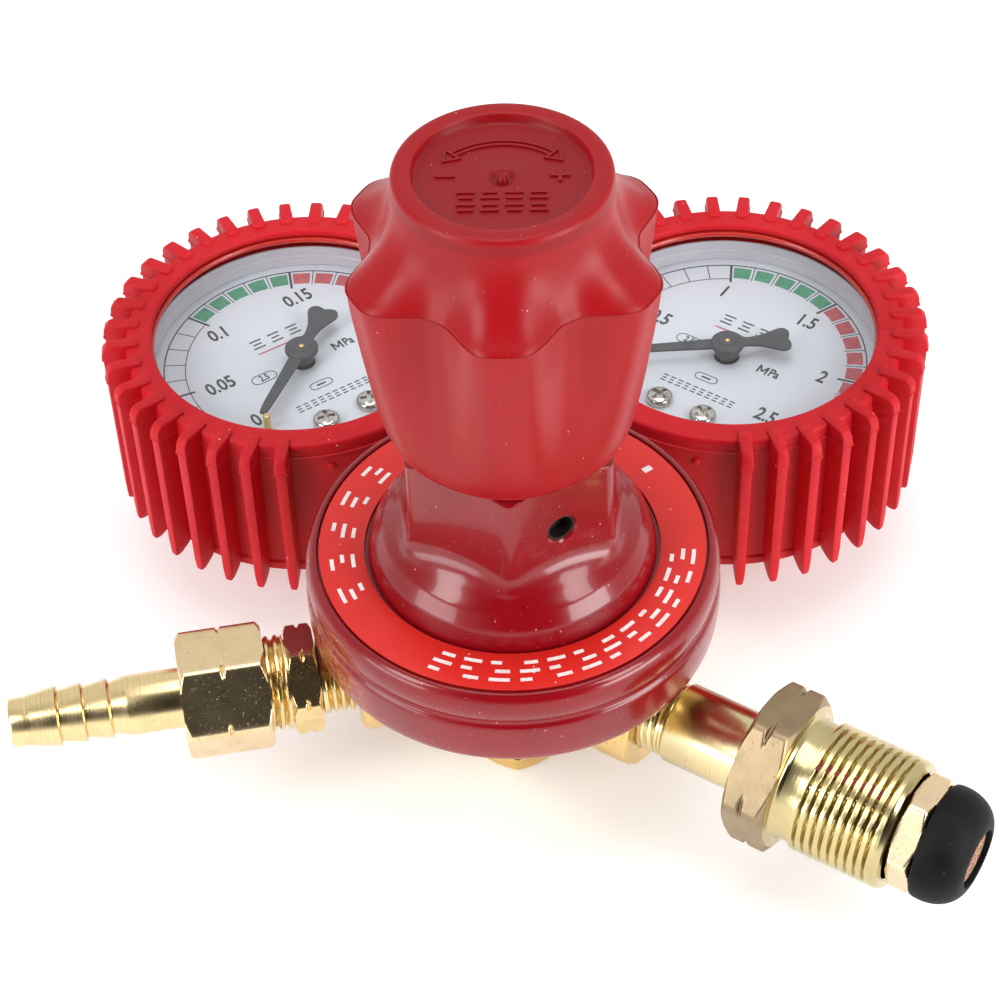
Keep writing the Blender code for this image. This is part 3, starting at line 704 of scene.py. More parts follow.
def make_knob():
    wall = smoothed(KNOB_WALL, 3)
    flare = smoothed(KNOB_FLARE, 3)
    stations = [(6.4, 98.0), (13.6, 98.0), (14.6, 97.0), (14.6, 77.6), (15.0, 77.0)]
    stations += [knob_station(77.0, 17.9, 17.7), knob_station(77.25, 18.3, 18.0)]
    stations += [knob_station(*section) for section in wall[:-1]]
    # Thin flash where the mould halves met
    for height, extra in ((-0.12, 0.0), (-0.05, 0.19), (0.05, 0.19), (0.14, 0.0)):
        stations.append(knob_station(KNOB_PARTING_Z + height, 24.4, 19.3, extra))
    stations += [knob_station(*section) for section in flare[2:]]
    stations += [(15.8, 123.9), (15.65, 124.3), (15.3, 124.55), (14.9, 124.6), (13.2, 124.6), (12.95, 124.5),
                 (12.8, 124.2), (12.7, 123.5), (12.45, 123.2), (12.1, RECESS_FLOOR), (2.6, RECESS_FLOOR),
                 (2.2, RECESS_FLOOR + 0.12), (1.9, RECESS_FLOOR), (1.6, 122.7), (0.9, 122.5), (0.0, 122.45)]
    work = turned(stations, steps=240)
    piece("knob_moulding", work, "knob", [KNOB_PLASTIC], "knob")


def raised_frame(work, outline, width, low, high):
    """A low ridge of even width just inside a closed convex outline."""
    inside = []
    total = len(outline)
    for index in range(total):
        corner = Vector(outline[index])
        before = (corner - Vector(outline[index - 1])).normalized()
        after = (Vector(outline[(index + 1) % total]) - corner).normalized()
        inward = Vector((-before.y, before.x)) + Vector((-after.y, after.x))
        inward = inward / max(1.0 + before.dot(after), 0.3)
        inside.append(tuple(corner + inward * width))
    rings = [[(x, y, height) for x, y in line] for line, height in
             ((outline, low), (outline, high), (inside, high), (inside, low))]
    skin(work, rings, loop=True)


def raised_line(work, points, width, low, high):
    """A low ridge of even width along a line of points."""
    sides = ([], [])
    for index, point in enumerate(points):
        before = Vector(points[max(index - 1, 0)])
        after = Vector(points[min(index + 1, len(points) - 1)])
        along = (after - before).normalized()
        across = Vector((-along.y, along.x)) * width / 2
        sides[0].append(tuple(Vector(point) + across))
        sides[1].append(tuple(Vector(point) - across))
    slab(work, sides[0] + sides[1][::-1], low, high)


def make_knob_marks():
    """Turning marks on the knob: a two-headed arrow, a minus, a plus and rows of bars."""
    low, high = RECESS_FLOOR - 0.1, RECESS_FLOOR + 0.28
    work = bmesh.new()
    centre = Vector((0.0, -3.2))
    for radius, reach in ((11.45, 41.0), (10.6, 40.5)):
        raised_line(work, arc(radius, 90.0 - reach, 90.0 + reach, 40, centre), 0.42, low, high)
    for mirror in (1.0, -1.0):
        head = [polar(12.1, 48.8), polar(9.95, 49.4), polar(10.85, 41.0)]
        head = [(mirror * (centre.x + x), centre.y + y) for x, y in head]
        raised_frame(work, head[::-1] if mirror > 0 else head, 0.34, low, high + 0.02)
    for x in (-8.1, 8.1):
        tile(work, (x - 1.4, 0.1), (x + 1.4, 0.7), low, high)
    tile(work, (7.8, -1.0), (8.4, 1.8), low, high + 0.01)
    for row, y in enumerate((-3.3, -4.5, -6.0, -7.2)):
        for place in range(4):
            x = -5.1 + 3.4 * place
            half = (1.3, 1.0, 1.3, 1.1)[(place + row) % 4]
            tile(work, (x - half, y - 0.25), (x + half, y + 0.25), low, high)
    # Torn gate vestige in the middle of the recess
    lathe(work, [(0.0, 123.9), (0.35, 123.75), (0.5, 123.3), (0.75, 122.9), (0.9, 122.4)], steps=14)
    for vertex in work.verts:
        if vertex.co.z > 123.5 and vertex.co.xy.length < 1.0:
            vertex.co.x += 0.25
            vertex.co.y += 0.18
    piece("knob_marks", work, "knob", [KNOB_PLASTIC], "knob", replaces=False)


# ---------------------------------------------------------------- bonnet

BONNET_SHOULDER = [(12.0, 61.2), (14.0, 60.3), (15.5, 59.2), (18.3, 57.0), (20.6, 54.8), (22.2, 52.2),
                   (22.9, 50.0), (23.2, 48.7)]
BONNET_FLANGE = [(31.3, 48.5), (31.42, 49.0), (31.7, 49.25), (32.3, 49.05), (32.9, 48.4), (33.3, 47.4),
                 (33.42, 46.0), (33.3, 44.8), (33.0, 43.8), (32.92, 43.4), (33.05, 43.0), (33.45, 42.5),
                 (33.6, 41.9), (33.6, 39.0), (33.5, 37.0), (33.3, 35.4), (33.0, 34.7), (32.6, 34.5)]
VENT_Z = 66.2
VENT_BEARING = -60.0


def shoulder_radius(height):
    """Radius of the bell's shoulder, which runs on up inside the hexagon."""
    points = BONNET_SHOULDER
    if height >= points[0][1]:
        return 0.0
    for (high_r, high_z), (low_r, low_z) in zip(points, points[1:]):
        if height >= low_z:
            return low_r + (high_r - low_r) * (height - low_z) / (high_z - low_z)
    return points[-1][0]


def bonnet_station(height):
    """Hexagon above, round shoulder below, and a soft cove between them."""
    top_cone = 16.9 + (76.0 - height) * 1.7
    round_r = shoulder_radius(height)
    hex_fade = min(max((height - 52.0) / 5.0, 0.0), 1.0)

    def radius_at(angle_deg):
        hex_r = min(hexagon(18.4, angle_deg, 0.5), top_cone) * (0.8 + 0.2 * hex_fade)
        return soft_max(hex_r, round_r, 3.4)
    return radius_at, height


def make_bonnet():
    stations = [(6.35, 86.0), (12.3, 86.0), (13.0, 85.3), (13.0, 76.2), (13.2, 76.0), (16.5, 76.0)]
    stations += [bonnet_station(height) for height in spread(75.95, 74.0, 0.16) + spread(73.0, 61.0, 1.5)]
    stations += [bonnet_station(height) for height in spread(60.6, 49.0, 0.35)]
    stations += [(23.25, 48.5)]
    stations += smoothed(BONNET_FLANGE, 2)
    stations += [(30.4, 34.5), (30.4, 45.5), (26.0, 45.5), (19.5, 46.3), (19.5, 49.5), (12.6, 54.5),
                 (12.6, 74.0), (6.35, 76.5)]
    work = turned(stations, loop=True, steps=180)
    bonnet = piece("bonnet_casting", work, "base", [BONNET_PAINT], "bonnet")

    vent = turned([(0.0, 8.0), (2.35, 8.0), (2.4, 15.6), (3.2, 16.35), (3.2, 20.0), (0.0, 20.0)], steps=48)
    spot = port_axis(VENT_BEARING, height=VENT_Z)
    carve(bonnet, vent, spot)
    # Painted shade: a near-black liner and disc sit inside the vent to darken the bore.
    work = washer(2.05, 2.36, 12.9, 15.5, 0.08, steps=48)
    lathe(work, [(0.0, 12.9), (2.2, 12.9), (2.2, 13.2), (0.0, 13.25)], steps=48)
    piece("vent_shade_liner", work, "base", [SHADOWED_BORE], "bonnet", spot, replaces=False)


def make_label():
    """A red printed ring whose marks are rows of plain white bars."""
    work = washer(23.75, 31.1, 48.65, 49.08, 0.1, count=2)
    top = 49.07
    ink = (top - 0.03, top + 0.05)
    marks = [145.0 + 14.5 * step for step in range(5)] + [247.0 + 9.6 * step for step in range(12)]
    for count, bearing in enumerate(marks):
        spans = ((-3.2, 3.2), (-3.2, 0.4), (-1.6, 3.2))
        for row, radius in enumerate((25.7, 27.4, 29.1)):
            start, end = spans[(row + count) % 3]
            band(work, radius - 0.32, radius + 0.32, bearing + start, bearing + end, *ink, slot=1)
    for bearing in (128.0, 36.0):
        band(work, 26.6, 28.2, bearing - 1.2, bearing + 1.2, *ink, slot=1)
    piece("label_ring", work, "base", [LABEL_FILM, LABEL_INK], "bonnet_label")


# ---------------------------------------------------------------- body

# Bearing, height and boss radius of each port
PORTS = {
    "inlet": (INLET_BEARING, PORT_Z, BOSS_R),
    "outlet": (OUTLET_BEARING, PORT_Z, BOSS_R),
    "low_gauge": (90.0 + GAUGE_LEAN, GAUGE_PORT_Z, GAUGE_BOSS_R),
    "high_gauge": (90.0 - GAUGE_LEAN, GAUGE_PORT_Z, GAUGE_BOSS_R),
}


def make_body():
    """The cast body: a cone with four bosses, fused by a fine remesh."""
    work = turned([(0.0, 43.0), (30.0, 43.0), (30.0, 31.5), (27.0, 29.5), (21.0, 22.0), (18.0, 16.0),
                   (13.0, 10.0), (9.0, 7.5), (9.0, 5.0), (0.0, 5.0)], steps=96)
    for bearing, height, radius in PORTS.values():
        boss = turned([(0.0, 0.0), (radius, 0.0), (radius, BOSS_END - 0.6), (radius - 0.6, BOSS_END),
                       (0.0, BOSS_END)], steps=64)
        boss.transform(port_axis(bearing, height=height))
        join(work, boss)
    body = piece("body_casting", work, "base", [CAST_BRASS], "regulator_body")
    fuse = body.modifiers.new("Fuse", "REMESH")
    fuse.mode = "VOXEL"
    fuse.voxel_size = 0.42 * MM
    fuse.use_smooth_shade = True
    soften = body.modifiers.new("Soften", "SMOOTH")
    soften.factor = 0.5
    soften.iterations = 5
    bake_modifiers(body)
    body.data.shade_smooth()


def make_boss_faces():
    """Machined rings round the mouths of the ports."""
    for name, (bearing, height, radius) in PORTS.items():
        work = washer(6.6, radius - 0.4, 26.0, 27.08, 0.15, steps=96)
        piece(name + "_boss_face", work, "base", [TURNED_BRASS], "regulator_body",
              port_axis(bearing, height=height), replaces=False)


def make_back_plug():
    stations = [(0.0, 0.0), (6.6, 0.0)]
    for height in spread(0.0, 3.3, 0.12):
        cone = 6.9 + height * 1.8

        def radius_at(angle_deg, cone=cone):
            return min(hexagon(8.2, angle_deg, 0.2), cone)
        stations.append((radius_at, height))
    stations += [(5.0, 3.3), (5.0, 14.0), (4.0, 14.0), (4.0, 6.95), (0.0, 6.95)]
    work = turned(stations)
    piece("plug_hexagon", work, "base", [TURNED_BRASS], "back_plug")

    work = washer(5.4, 8.0, 3.6, 4.7, 0.45)
    piece("plug_seal", work, "base", [BLACK_RUBBER], "back_plug_seal")


# ---------------------------------------------------------------- inlet

INLET_ROLL = -12.8


def notched_hexagon(corner_r, low, high, slope, notch_at=None, notch_r=None, softness=0.3, ends=1.0):
    """Stations of a chamfered hexagon, with a V groove across its corners for a left-hand thread."""
    stations = []
    flat_r = corner_r * HEX_FLAT
    for height in spread(low, high, 0.16):
        cone = flat_r + ends + min(height - low, high - height) * slope
        if notch_at is not None:
            cone = min(cone, notch_r + 1.9 * max(abs(height - notch_at) - 0.12, 0.0))

        def radius_at(angle_deg, cone=cone):
            return min(hexagon(corner_r, angle_deg, softness), cone)
        stations.append((radius_at, height))
    return stations


def add_paint_stripe(work):
    """Dabs of red paint that nearly fill the thread grooves, along one line of the nut."""
    middle = 201.0 - INLET_ROLL
    start = 57.8
    for lap in range(8):
        height = start + NUT_PITCH * (lap + (0.5 - start / NUT_PITCH - middle / 360.0) % 1.0)
        reach = 4.2 + 0.8 * math.sin(2.3 * lap)
        outline = [(10.0, height - 0.2), (10.78, height - 0.34), (10.86, height), (10.78, height + 0.34),
                   (10.0, height + 0.2)]
        rings = []
        for angle in spread(middle - reach, middle + reach, 1.5):
            rise = NUT_PITCH * (middle - angle) / 360.0
            rings.append([(*polar(radius, angle), level + rise) for radius, level in outline])
        skin(work, rings, ends=True, slot=2)


def make_inlet():
    axis = port_axis(INLET_BEARING)
    stations = [(2.5, 15.6), (6.3, 15.6), (6.3, 25.4)]
    stations += thread_stations(6.4, 5.85, PORT_PITCH, 25.5, 30.6)
    stations += [(6.1, 30.8), (6.1, 31.1), (6.5, 31.4), (6.8, 31.8), (6.8, 56.8), (8.6, 56.8), (8.6, 59.5),
                 (6.2, 59.5), (6.2, 72.5), (5.0, 72.5), (5.0, 75.2), (2.5, 75.2)]
    work = turned(stations, loop=True, steps=96)
    piece("inlet_tube", work, "base", [INLET_PLATING], "inlet_stem", axis)

    nut_stations = notched_hexagon(13.86, 45.9, 53.3, 1.7, 49.4, 12.75, ends=0.15)
    work = turned([(7.15, 45.9), (11.7, 45.9)] + nut_stations)
    neck = [(11.9, 53.3), (10.9, 53.3), (10.35, 53.7), (10.2, 54.3), (10.2, 56.8)]
    tail = [(10.8, 71.85), (10.45, 72.4), (9.3, 72.5), (9.0, 72.2), (9.0, 56.4), (7.15, 56.4), (7.15, 45.9)]
    start = [nut_stations[-1]]
    thread = thread_stations(10.9, 10.05, NUT_PITCH, 57.0, 71.6, hand=-1, blunt=0.58)
    lathe(work, start + neck + thread + tail, slot=1)
    add_paint_stripe(work)
    piece("inlet_nut_turned", work, "inlet_nut", [NUT_FLATS, NUT_PLATING, RED_PAINT], "inlet_nut",
          port_axis(INLET_BEARING, INLET_ROLL))

    stations = [(5.3, 72.8)] + notched_hexagon(9.81, 72.8, 76.7, 1.7, softness=0.2, ends=0.2)
    stations += [(6.0, 76.7), (6.0, 81.3), (2.5, 81.3), (2.5, 75.6), (5.3, 75.6)]
    work = turned(stations, loop=True)
    piece("inlet_nipple_hexagon", work, "base", [NIPPLE_BRASS], "inlet_nipple",
          port_axis(INLET_BEARING, INLET_ROLL))

    outside = [(9.0, 77.0), (9.45, 77.2), (9.6, 78.4), (9.5, 80.0), (9.0, 81.7), (8.1, 83.1), (7.0, 84.05),
               (5.9, 84.5), (5.3, 84.6)]
    inside = [(5.0, 84.55), (4.9, 84.3), (4.9, 81.7), (6.3, 81.7)]
    work = turned([(6.3, 77.0), (8.8, 77.0)] + smoothed(outside, 2) + inside, loop=True)
    piece("inlet_nose", work, "base", [BLACK_RUBBER], "inlet_rubber_nose", axis)

    work = turned([(0.0, 81.9), (4.6, 81.9), (4.6, 83.5), (4.4, 83.75), (3.4, 83.85), (0.0, 83.9)], steps=64)
    piece("inlet_filter_disc", work, "base", [SINTERED], "inlet_filter", axis)


# ---------------------------------------------------------------- outlet

COLLAR_ROLL = 16.0
OUTLET_NUT_ROLL = 7.3


def make_outlet():
    axis = port_axis(OUTLET_BEARING)
    stations = [(2.5, 15.6), (6.3, 15.6), (6.3, 25.4)]
    stations += thread_stations(6.35, 5.5, PORT_PITCH, 25.5, 33.0)
    stations += [(5.0, 33.2), (5.0, 34.0), (2.5, 34.0)]
    work = turned(stations, loop=True, steps=96)
    mouth = [(2.5, 37.9), (6.9, 37.9), (6.9, 38.3)]
    mouth += thread_stations(7.9, 7.0, NUT_PITCH, 38.4, 49.7, hand=-1)
    mouth += [(6.9, 49.9), (6.6, 50.0), (2.9, 50.0), (2.5, 49.6)]
    lathe(work, mouth, loop=True, steps=96)
    piece("outlet_thread", work, "base", [OUTLET_BRASS], "outlet_fitting", axis)

    stations = [(4.6, 33.4)] + notched_hexagon(9.24, 33.4, 38.1, 1.6, 35.7, 8.55, softness=0.25, ends=0.25)
    stations += [(4.6, 38.1)]
    work = turned(stations, loop=True)
    piece("outlet_collar", work, "base", [COLLAR_BRASS], "outlet_fitting",
          port_axis(OUTLET_BEARING, COLLAR_ROLL), replaces=False)

    stations = [(8.2, 41.7), (8.9, 41.7)]
    stations += notched_hexagon(10.97, 41.7, 55.9, 1.3, 48.7, 10.2, softness=0.5, ends=0.25)
    stations += [(6.1, 55.9), (5.5, 55.6), (5.35, 55.3), (5.35, 53.0), (8.2, 53.0)]
    work = turned(stations, loop=True)
    piece("outlet_union_nut", work, "outlet_nut", [NUT_BRASS], "outlet_nut",
          port_axis(OUTLET_BEARING, OUTLET_NUT_ROLL))

    barb = [(2.8, 50.4), (7.6, 50.4), (7.8, 50.6), (7.8, 52.4), (7.5, 52.7), (5.0, 52.7), (5.0, 64.7),
            (4.92, 64.95), (4.32, 67.5), (4.85, 67.72), (5.0, 67.9), (4.95, 68.1), (4.28, 71.8),
            (4.85, 71.95), (5.0, 72.1), (4.95, 72.3), (4.25, 75.95), (4.85, 76.15), (5.0, 76.3),
            (4.95, 76.55), (4.35, 80.3), (4.1, 81.3), (4.05, 83.7), (3.9, 84.0), (3.7, 84.1), (3.0, 84.1),
            (2.8, 83.9)]
    work = turned(barb, loop=True)
    piece("hose_tail", work, "hose_barb", [TAIL_BRASS], "hose_barb", axis)


# ---------------------------------------------------------------- gauges

DIAL_SPAN = 258.0
# How far above zero the pin holds the pointer at rest
REST_DEG = 3.5
# Where the pin stands, and how far behind the pointer
PIN_R = 18.3
PIN_BEHIND_DEG = 3.4
# Middle of each number on the dial, in turn from zero
NUMBER_PLACES = ((-14.4, -8.8), (-15.4, 2.6), (-9.1, 15.0), (7.8, 15.6), (17.2, 4.0), (13.6, -10.0))
DIVISIONS = 25
PLAIN_DIVISIONS = 10
GREEN_DIVISIONS = 15
RIB_BEARINGS = [-90.0 + side * (35.0 + 10.0 * step) for step in range(15) for side in (-1, 1)]
# Height, inner and outer radius, half width at the root and at the tip
RIB_SECTIONS = [
    (12.0, 33.4, 34.8, 0.55, 0.5), (12.4, 32.9, 34.98, 0.72, 0.66), (13.7, 31.4, 35.0, 0.95, 0.82),
    (15.4, 30.6, 35.05, 1.05, 0.9), (28.0, 30.6, 35.1, 1.12, 0.96), (40.85, 30.6, 35.15, 1.18, 1.0),
    (40.95, 30.6, 35.42, 1.42, 1.24), (41.15, 30.6, 35.42, 1.42, 1.24), (41.25, 30.6, 35.3, 1.32, 1.14),
    (42.4, 29.4, 35.2, 1.3, 1.1), (43.1, 28.7, 35.0, 1.26, 1.06), (43.75, 28.6, 34.4, 1.22, 1.02),
    (44.0, 28.8, 34.1, 1.12, 0.94), (44.1, 29.2, 33.8, 0.92, 0.76),
]


def add_rib(work, bearing, lift):
    turn = Matrix.Rotation(math.radians(bearing), 3, "Z")
    rings = []
    for height, inner, outer, root, tip in RIB_SECTIONS:
        side = [(inner, 0.5 * root), (inner + 0.5, root), (outer - 0.35, tip), (outer - 0.08, 0.86 * tip),
                (outer, 0.6 * tip)]
        outline = side + [(x, -y) for x, y in side[::-1]]
        top = height + (lift if height > 43.0 else 0.0)
        rings.append([turn @ Vector((x, y, top)) for x, y in outline])
    skin(work, rings, ends=True)


def make_boot(side, place):
    shoulder = smoothed([(29.6, 43.62), (30.5, 43.6), (31.0, 43.0), (31.05, 41.4)], 3)
    mouth = smoothed([(27.0, 42.2), (26.35, 42.3), (26.35, 43.5), (27.0, 43.66), (28.2, 43.62)], 3)
    profile = mouth + shoulder + [(31.05, 41.3), (31.34, 41.18), (31.34, 41.05), (31.15, 40.9), (31.2, 15.7)]
    profile += rounded([(31.2, 15.6), (31.55, 15.4), (31.55, 13.7), (30.0, 13.7), (29.8, 14.2),
                        (29.8, 42.2)], 0.3)
    work = turned(profile, loop=True)
    boot = piece(side + "_boot", work, "base", [BOOT_RUBBER], side + "_gauge_boot", place)
    ribs = bmesh.new()
    for count, bearing in enumerate(RIB_BEARINGS):
        add_rib(ribs, bearing, 0.07 * math.sin(2.4 * count))
    for bearing, height in ((-70.0, 38.6), (-110.0, 38.6), (-90.0, 34.0)):
        dot = turned([(0.0, 30.4), (0.75, 30.4), (0.7, 31.45), (0.45, 31.7), (0.0, 31.75)], steps=20)
        dot.transform(port_axis(bearing, height=height))
        join(ribs, dot)
    carve(boot, ribs, place, "UNION")
    notch = bmesh.new()
    outline = rounded([(-7.6, 10.0), (7.6, 10.0), (7.6, 27.2), (-7.6, 27.2)], 3.0, loop=True)
    slab(notch, outline, 26.0, 36.0)
    notch.transform(spin(90.0, "X"))
    carve(boot, notch, place)


def make_case(side, place):
    node = side + "_gauge_case"
    back = [(0.0, 14.0), (8.6, 14.0), (9.2, 13.6), (22.6, 13.6), (23.2, 13.95), (25.2, 13.95), (25.8, 13.6),
            (27.4, 13.62), (28.3, 14.0), (28.75, 14.9), (28.8, 16.0), (28.8, 38.9)]
    work = turned(smoothed(back, 2) + [(27.5, 38.9), (27.5, 15.1), (0.0, 15.1)])
    case = piece(side + "_case", work, "base", [GAUGE_PAINT], node, place)
    hole = turned([(0.0, 20.0), (6.6, 20.0), (6.6, 36.0), (0.0, 36.0)], steps=64)
    carve(case, hole, place @ STEM_TURN)

    work = turned(rounded([(26.75, 35.05), (27.4, 35.05), (27.4, 39.1), (27.0, 39.1), (27.0, 37.3),
                           (26.75, 37.1)], 0.12, loop=True, count=3), loop=True)
    piece(side + "_inner_rim", work, "base", [RIM_ENAMEL], node, place, replaces=False)

    profile = [(29.1, 41.0), (29.1, 35.5), (29.5, 35.5), (29.5, 41.3), (29.2, 41.8), (28.6, 41.95)]
    lip = smoothed([(26.6, 41.95), (25.95, 41.9), (25.95, 41.0), (26.6, 40.95)], 3)
    work = turned(profile + lip, loop=True)
    piece(side + "_bezel", work, "base", [GAUGE_PAINT], side + "_gauge_bezel", place)

    work = turned(rounded([(0.0, 39.25), (28.65, 39.25), (28.65, 40.6), (0.0, 40.6)], 0.2))
    piece(side + "_window", work, "base", [WINDOW_GLASS], side + "_gauge_window", place)


def bar(work, start, end, width, slot=0):
    """A straight printed stroke."""
    along = (Vector(end) - Vector(start)).normalized()
    across = Vector((-along.y, along.x)) * width / 2
    corners = [Vector(start) - across, Vector(end) - across, Vector(end) + across, Vector(start) + across]
    slab(work, [tuple(corner) for corner in corners], INK_LOW, INK_HIGH, slot)


def print_scale(work, labels):
    """A scale of plain divisions, then green, then red, with a number at each fifth."""
    pitch = DIAL_SPAN / DIVISIONS
    band(work, 24.88, 25.12, ZERO_DEG - DIAL_SPAN, ZERO_DEG, INK_LOW, INK_HIGH)
    band(work, 21.1, 21.26, ZERO_DEG - PLAIN_DIVISIONS * pitch, ZERO_DEG, INK_LOW, INK_HIGH)
    for division in range(DIVISIONS + 1):
        angle = ZERO_DEG - division * pitch
        major = division % 5 == 0
        bar(work, polar(20.3 if major else 21.2, angle), polar(25.0, angle), 0.44 if major else 0.17)
        if PLAIN_DIVISIONS <= division < DIVISIONS:
            colour = 1 if division < GREEN_DIVISIONS else 2
            band(work, 21.5, 24.35, angle - pitch + 1.25, angle - 1.25, INK_LOW, INK_HIGH, colour)
    for label, spot in zip(labels, NUMBER_PLACES):
        letters(work, label, 3.15, spot, 0.10)


def print_loop(work, centre, half_length, half_height):
    """A thin outline with round ends."""
    x, y = centre
    left = arc(half_height, 90.0, 270.0, 12, (x - half_length, y))
    right = arc(half_height, -90.0, 90.0, 12, (x + half_length, y))
    loop = left + right
    for here, after in zip(loop, loop[1:] + loop[:1]):
        bar(work, here, after, 0.17)


def print_legend(work):
    """The unit, the accuracy class, and plain bars in place of other print."""
    letters(work, "Pa", 2.05, (9.55, 0.2), 0.07)
    for start, end in (((6.5, -0.8), (6.5, 1.25)), ((8.1, -0.8), (8.1, 1.25)), ((6.5, 1.2), (7.3, -0.3)),
                       ((8.1, 1.2), (7.3, -0.3))):
        bar(work, start, end, 0.34)
    letters(work, "2.5", 1.5, (-7.9, 0.1), 0.05)
    print_loop(work, (-7.9, 0.1), 1.3, 1.1)
    print_loop(work, (-0.2, -7.0), 1.3, 0.85)
    bar(work, (-1.1, -7.0), (0.7, -7.0), 0.4)
    bar(work, (-5.8, 6.0), (4.3, 6.0), 0.32, 2)
    for x in (-4.6, -0.9, 2.8):
        for y, half in ((9.6, 1.15), (8.6, 0.8), (7.6, 1.15)):
            bar(work, (x - half, y), (x + half, y), 0.34)
    for count in range(10):
        x = -6.6 + 1.5 * count
        for y, half in ((-9.95, 0.5), (-10.65, 0.38), (-11.35, 0.5)):
            bar(work, (x - half, y), (x + half, y), 0.26)


def make_dial(side, labels, place):
    node = side + "_gauge_dial"
    work = washer(2.25, 27.2, 34.4, DIAL_Z, 0.1, count=2)
    piece(side + "_dial_plate", work, "base", [DIAL_ENAMEL], node, place)
    work = bmesh.new()
    print_scale(work, labels)
    print_legend(work)
    piece(side + "_dial_print", work, "base", [DARK_INK, GREEN_INK, RED_INK], node, place, replaces=False)

    for end, x in (("left", -4.4), ("right", 4.4)):
        spot = place @ shift(x, -16.2, 0.0) @ spin(25.0 + 9.0 * x)
        head = smoothed([(2.35, 35.3), (2.45, 35.75), (2.1, 36.3), (1.25, 36.6), (0.0, 36.65)], 3)
        work = turned([(0.0, 35.05), (2.25, 35.05)] + head, steps=64)
        screw = piece(side + "_dial_screw_" + end, work, "base", [NICKEL],
                      side + "_gauge_dial_screw_" + end, spot)
        for half_x, half_y in ((1.6, 0.36), (0.36, 1.6)):
            carve(screw, brick((-half_x, -half_y, 36.1), (half_x, half_y, 37.0)), spot)

    work = turned([(0.0, 34.6)] + rounded([(0.66, 34.6), (0.66, 38.5), (0.0, 38.6)], 0.2), steps=32)
    piece(side + "_stop_pin", work, "base", [TURNED_BRASS], side + "_gauge_stop_pin",
          place @ shift(*polar(PIN_R, ZERO_DEG - REST_DEG + PIN_BEHIND_DEG), 0.0))


def make_pointer(side, place):
    """A stamped hand on a stepped hub, with a brass arbor in its middle."""
    body = side + "_pointer"
    spot = place @ spin(ZERO_DEG - REST_DEG)
    half = [(17.7, 0.0), (17.75, 0.75), (9.0, 0.95), (2.0, 1.2), (-2.0, 1.0), (-4.4, 1.0), (-6.6, 1.45),
            (-8.9, 2.6), (-10.2, 2.95), (-11.2, 2.3), (-11.4, 1.2), (-10.9, 0.0)]
    upper = smoothed(half, 3)
    outline = upper + [(x, -y) for x, y in upper[-2:0:-1]]
    work = bmesh.new()
    slab(work, outline, 37.85, 38.35)
    hand = piece(body + "_hand", work, body, [POINTER_PAINT], side + "_gauge_pointer", spot)
    steps = [(2.0, 35.5), (2.15, 35.7), (2.15, 37.3), (2.9, 37.6), (3.0, 37.8), (3.0, 38.35), (2.85, 38.55),
             (2.0, 38.62), (1.6, 38.72), (1.5, 38.9), (0.7, 38.95)]
    hub = turned([(0.0, 35.5)] + steps + [(0.62, 38.8), (0.0, 38.8)], steps=72)
    carve(hand, hub, spot, "UNION")
    work = turned([(0.0, 38.6), (0.5, 38.6), (0.5, 38.92), (0.35, 39.02), (0.0, 39.05)], steps=32)
    piece(body + "_arbor", work, body, [TURNED_BRASS], side + "_gauge_pointer", spot, replaces=False)


def make_stem(side, place):
    spot = place @ STEM_TURN
    stations = [(0.0, 25.3), (6.0, 25.3), (6.0, 42.0), (6.3, 42.3)]
    stations += thread_stations(6.3, 5.6, PORT_PITCH, 42.4, 53.6) + [(5.6, 54.0), (5.2, 54.47), (0.0, 54.47)]
    work = turned(stations, steps=96)
    stem = piece(side + "_stem", work, "base", [TURNED_BRASS], side + "_gauge_socket", spot)
    carve(stem, brick((-7.0, -7.0, 33.6), (7.0, 7.0, 42.07), edge=0.9), spot, "UNION")
    carve(stem, brick((-7.5, -3.5, 12.0), (7.5, 14.6, 25.8), edge=0.6), spot, "UNION")


# ---------------------------------------------------------------- the object

make_knob()
make_knob_marks()
make_bonnet()
make_label()
make_body()
make_boss_faces()
make_back_plug()
make_inlet()
make_outlet()
for side, lean, labels in (("low", GAUGE_LEAN, ("0", "0.05", "0.1", "0.15", "0.2", "0.25")),
                           ("high", -GAUGE_LEAN, ("0", "0.5", "1", "1.5", "2", "2.5"))):
    place = gauge_axis(lean)
    make_boot(side, place)
    make_case(side, place)
    make_dial(side, labels, place)
    make_pointer(side, place)
    make_stem(side, place)

KEPT_NODES = {
    STEEL: ("adjusting_screw", "diaphragm_plate", "main_spring", "push_pin", "return_spring",
            "spring_button"),
    TURNED_BRASS: ("diaphragm_nut", "poppet", "valve_nozzle"),
    BLACK_RUBBER: ("diaphragm", "poppet_seat"),
    ACETAL: ("slip_ring",),
}
for finish, names in KEPT_NODES.items():
    for name in names:
        NODES[name].material_slots[0].material = finish
for side in ("low", "high"):
    for name in ("bourdon_tube", "link", "movement_frame", "pinion", "sector"):
        NODES[side + "_gauge_" + name].material_slots[0].material = TURNED_BRASS


# ---------------------------------------------------------------- floor, light, camera

FLOOR_GLOW = 0.26
LIGHT_AIM = Vector((0.0, 0.0, 0.06))
DARK_SIDE = Vector((0.22, -0.74, 0.60))


def make_floor():
    work = bmesh.new()
    bmesh.ops.create_circle(work, cap_ends=True, radius=4.0, segments=96)
    mesh = bpy.data.meshes.new("floor")
    work.to_mesh(mesh)
    work.free()
    look = Surface("floor_paper", (0.86, 0.86, 0.865), 0.8)
    look.clouds(3.0, (0.85, 0.85, 0.855))
    look.shader.inputs["Emission Color"].default_value = WHITE
    look.shader.inputs["Emission Strength"].default_value = FLOOR_GLOW
    mesh.materials.append(look.done())
    floor = added("floor", mesh)
    floor.location.z = -0.0002


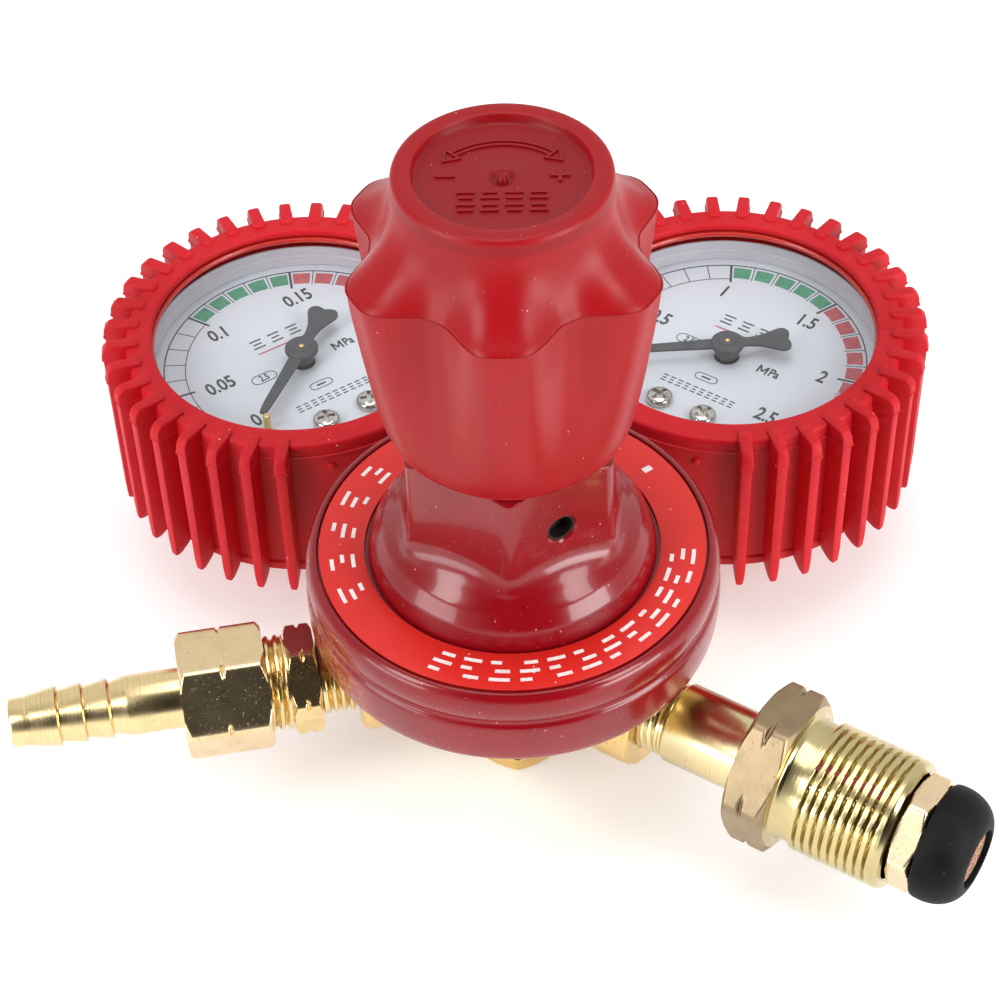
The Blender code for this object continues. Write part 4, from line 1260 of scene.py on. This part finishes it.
def add_softbox(name, direction, distance, size, power):
    lamp = bpy.data.lights.new(name, "AREA")
    lamp.shape = "RECTANGLE"
    lamp.size, lamp.size_y = size
    lamp.energy = power
    holder = added(name, lamp)
    towards = Vector(direction).normalized()
    holder.location = LIGHT_AIM + towards * distance
    holder.rotation_euler = towards.to_track_quat("Z", "Y").to_euler()


def make_world():
    """Pale surroundings with the dark of the room above the camera, for the brass to mirror."""
    world = bpy.data.worlds.new("studio")
    bpy.context.scene.world = world
    sky = Graph(world)
    place = sky.add("TexCoord", {}).outputs["Generated"]
    open_up = sky.ramp(sky.part(place, DARK_SIDE.normalized()), 0.84, 0.66, 0.025)
    parts = sky.add("SeparateXYZ", {"Vector": place}).outputs
    back = sky.ramp(parts["Y"], -0.1, 0.5, 0.46, 0.90)
    horizon = sky.ramp(parts["Z"], 0.36, 0.12, 0.0, 0.88)
    light = sky.math("MULTIPLY", open_up, sky.math("MAXIMUM", horizon, back))
    glow = sky.tree.nodes["Background"]
    glow.inputs["Color"].default_value = WHITE
    sky.feed(glow.inputs["Strength"], light)


make_floor()
make_world()
add_softbox("left_softbox", (-0.67, -0.44, 0.60), 0.65, (0.20, 0.30), 1.8)
add_softbox("right_softbox", (0.67, -0.44, 0.60), 0.65, (0.20, 0.30), 1.8)
add_softbox("top_softbox", (0.0, 0.1, 1.0), 0.9, (0.6, 0.6), 3.0)
add_softbox("left_fill", (-0.85, -0.55, 0.12), 0.9, (0.5, 0.25), 2.4)
add_softbox("right_fill", (0.85, -0.55, 0.12), 0.9, (0.5, 0.25), 4.5)

camera_data = bpy.data.cameras.new("camera")
camera_data.lens = 93.6
camera_data.sensor_width = 36.0
camera = added("camera", camera_data)
CAMERA_RIGHT = Vector((0.999736, 0.005452, -0.022339))
CAMERA_UP = Vector((0.011735, 0.714483, 0.699558))
CAMERA_BACK = Vector((0.019775, -0.699634, 0.714229))
camera_turn = Matrix((CAMERA_RIGHT, CAMERA_UP, CAMERA_BACK)).transposed().to_4x4()
camera.matrix_world = shift(0.00635, -0.2870, 0.35165) @ camera_turn
bpy.context.scene.camera = camera
bpy.context.scene.view_settings.view_transform = "Standard"
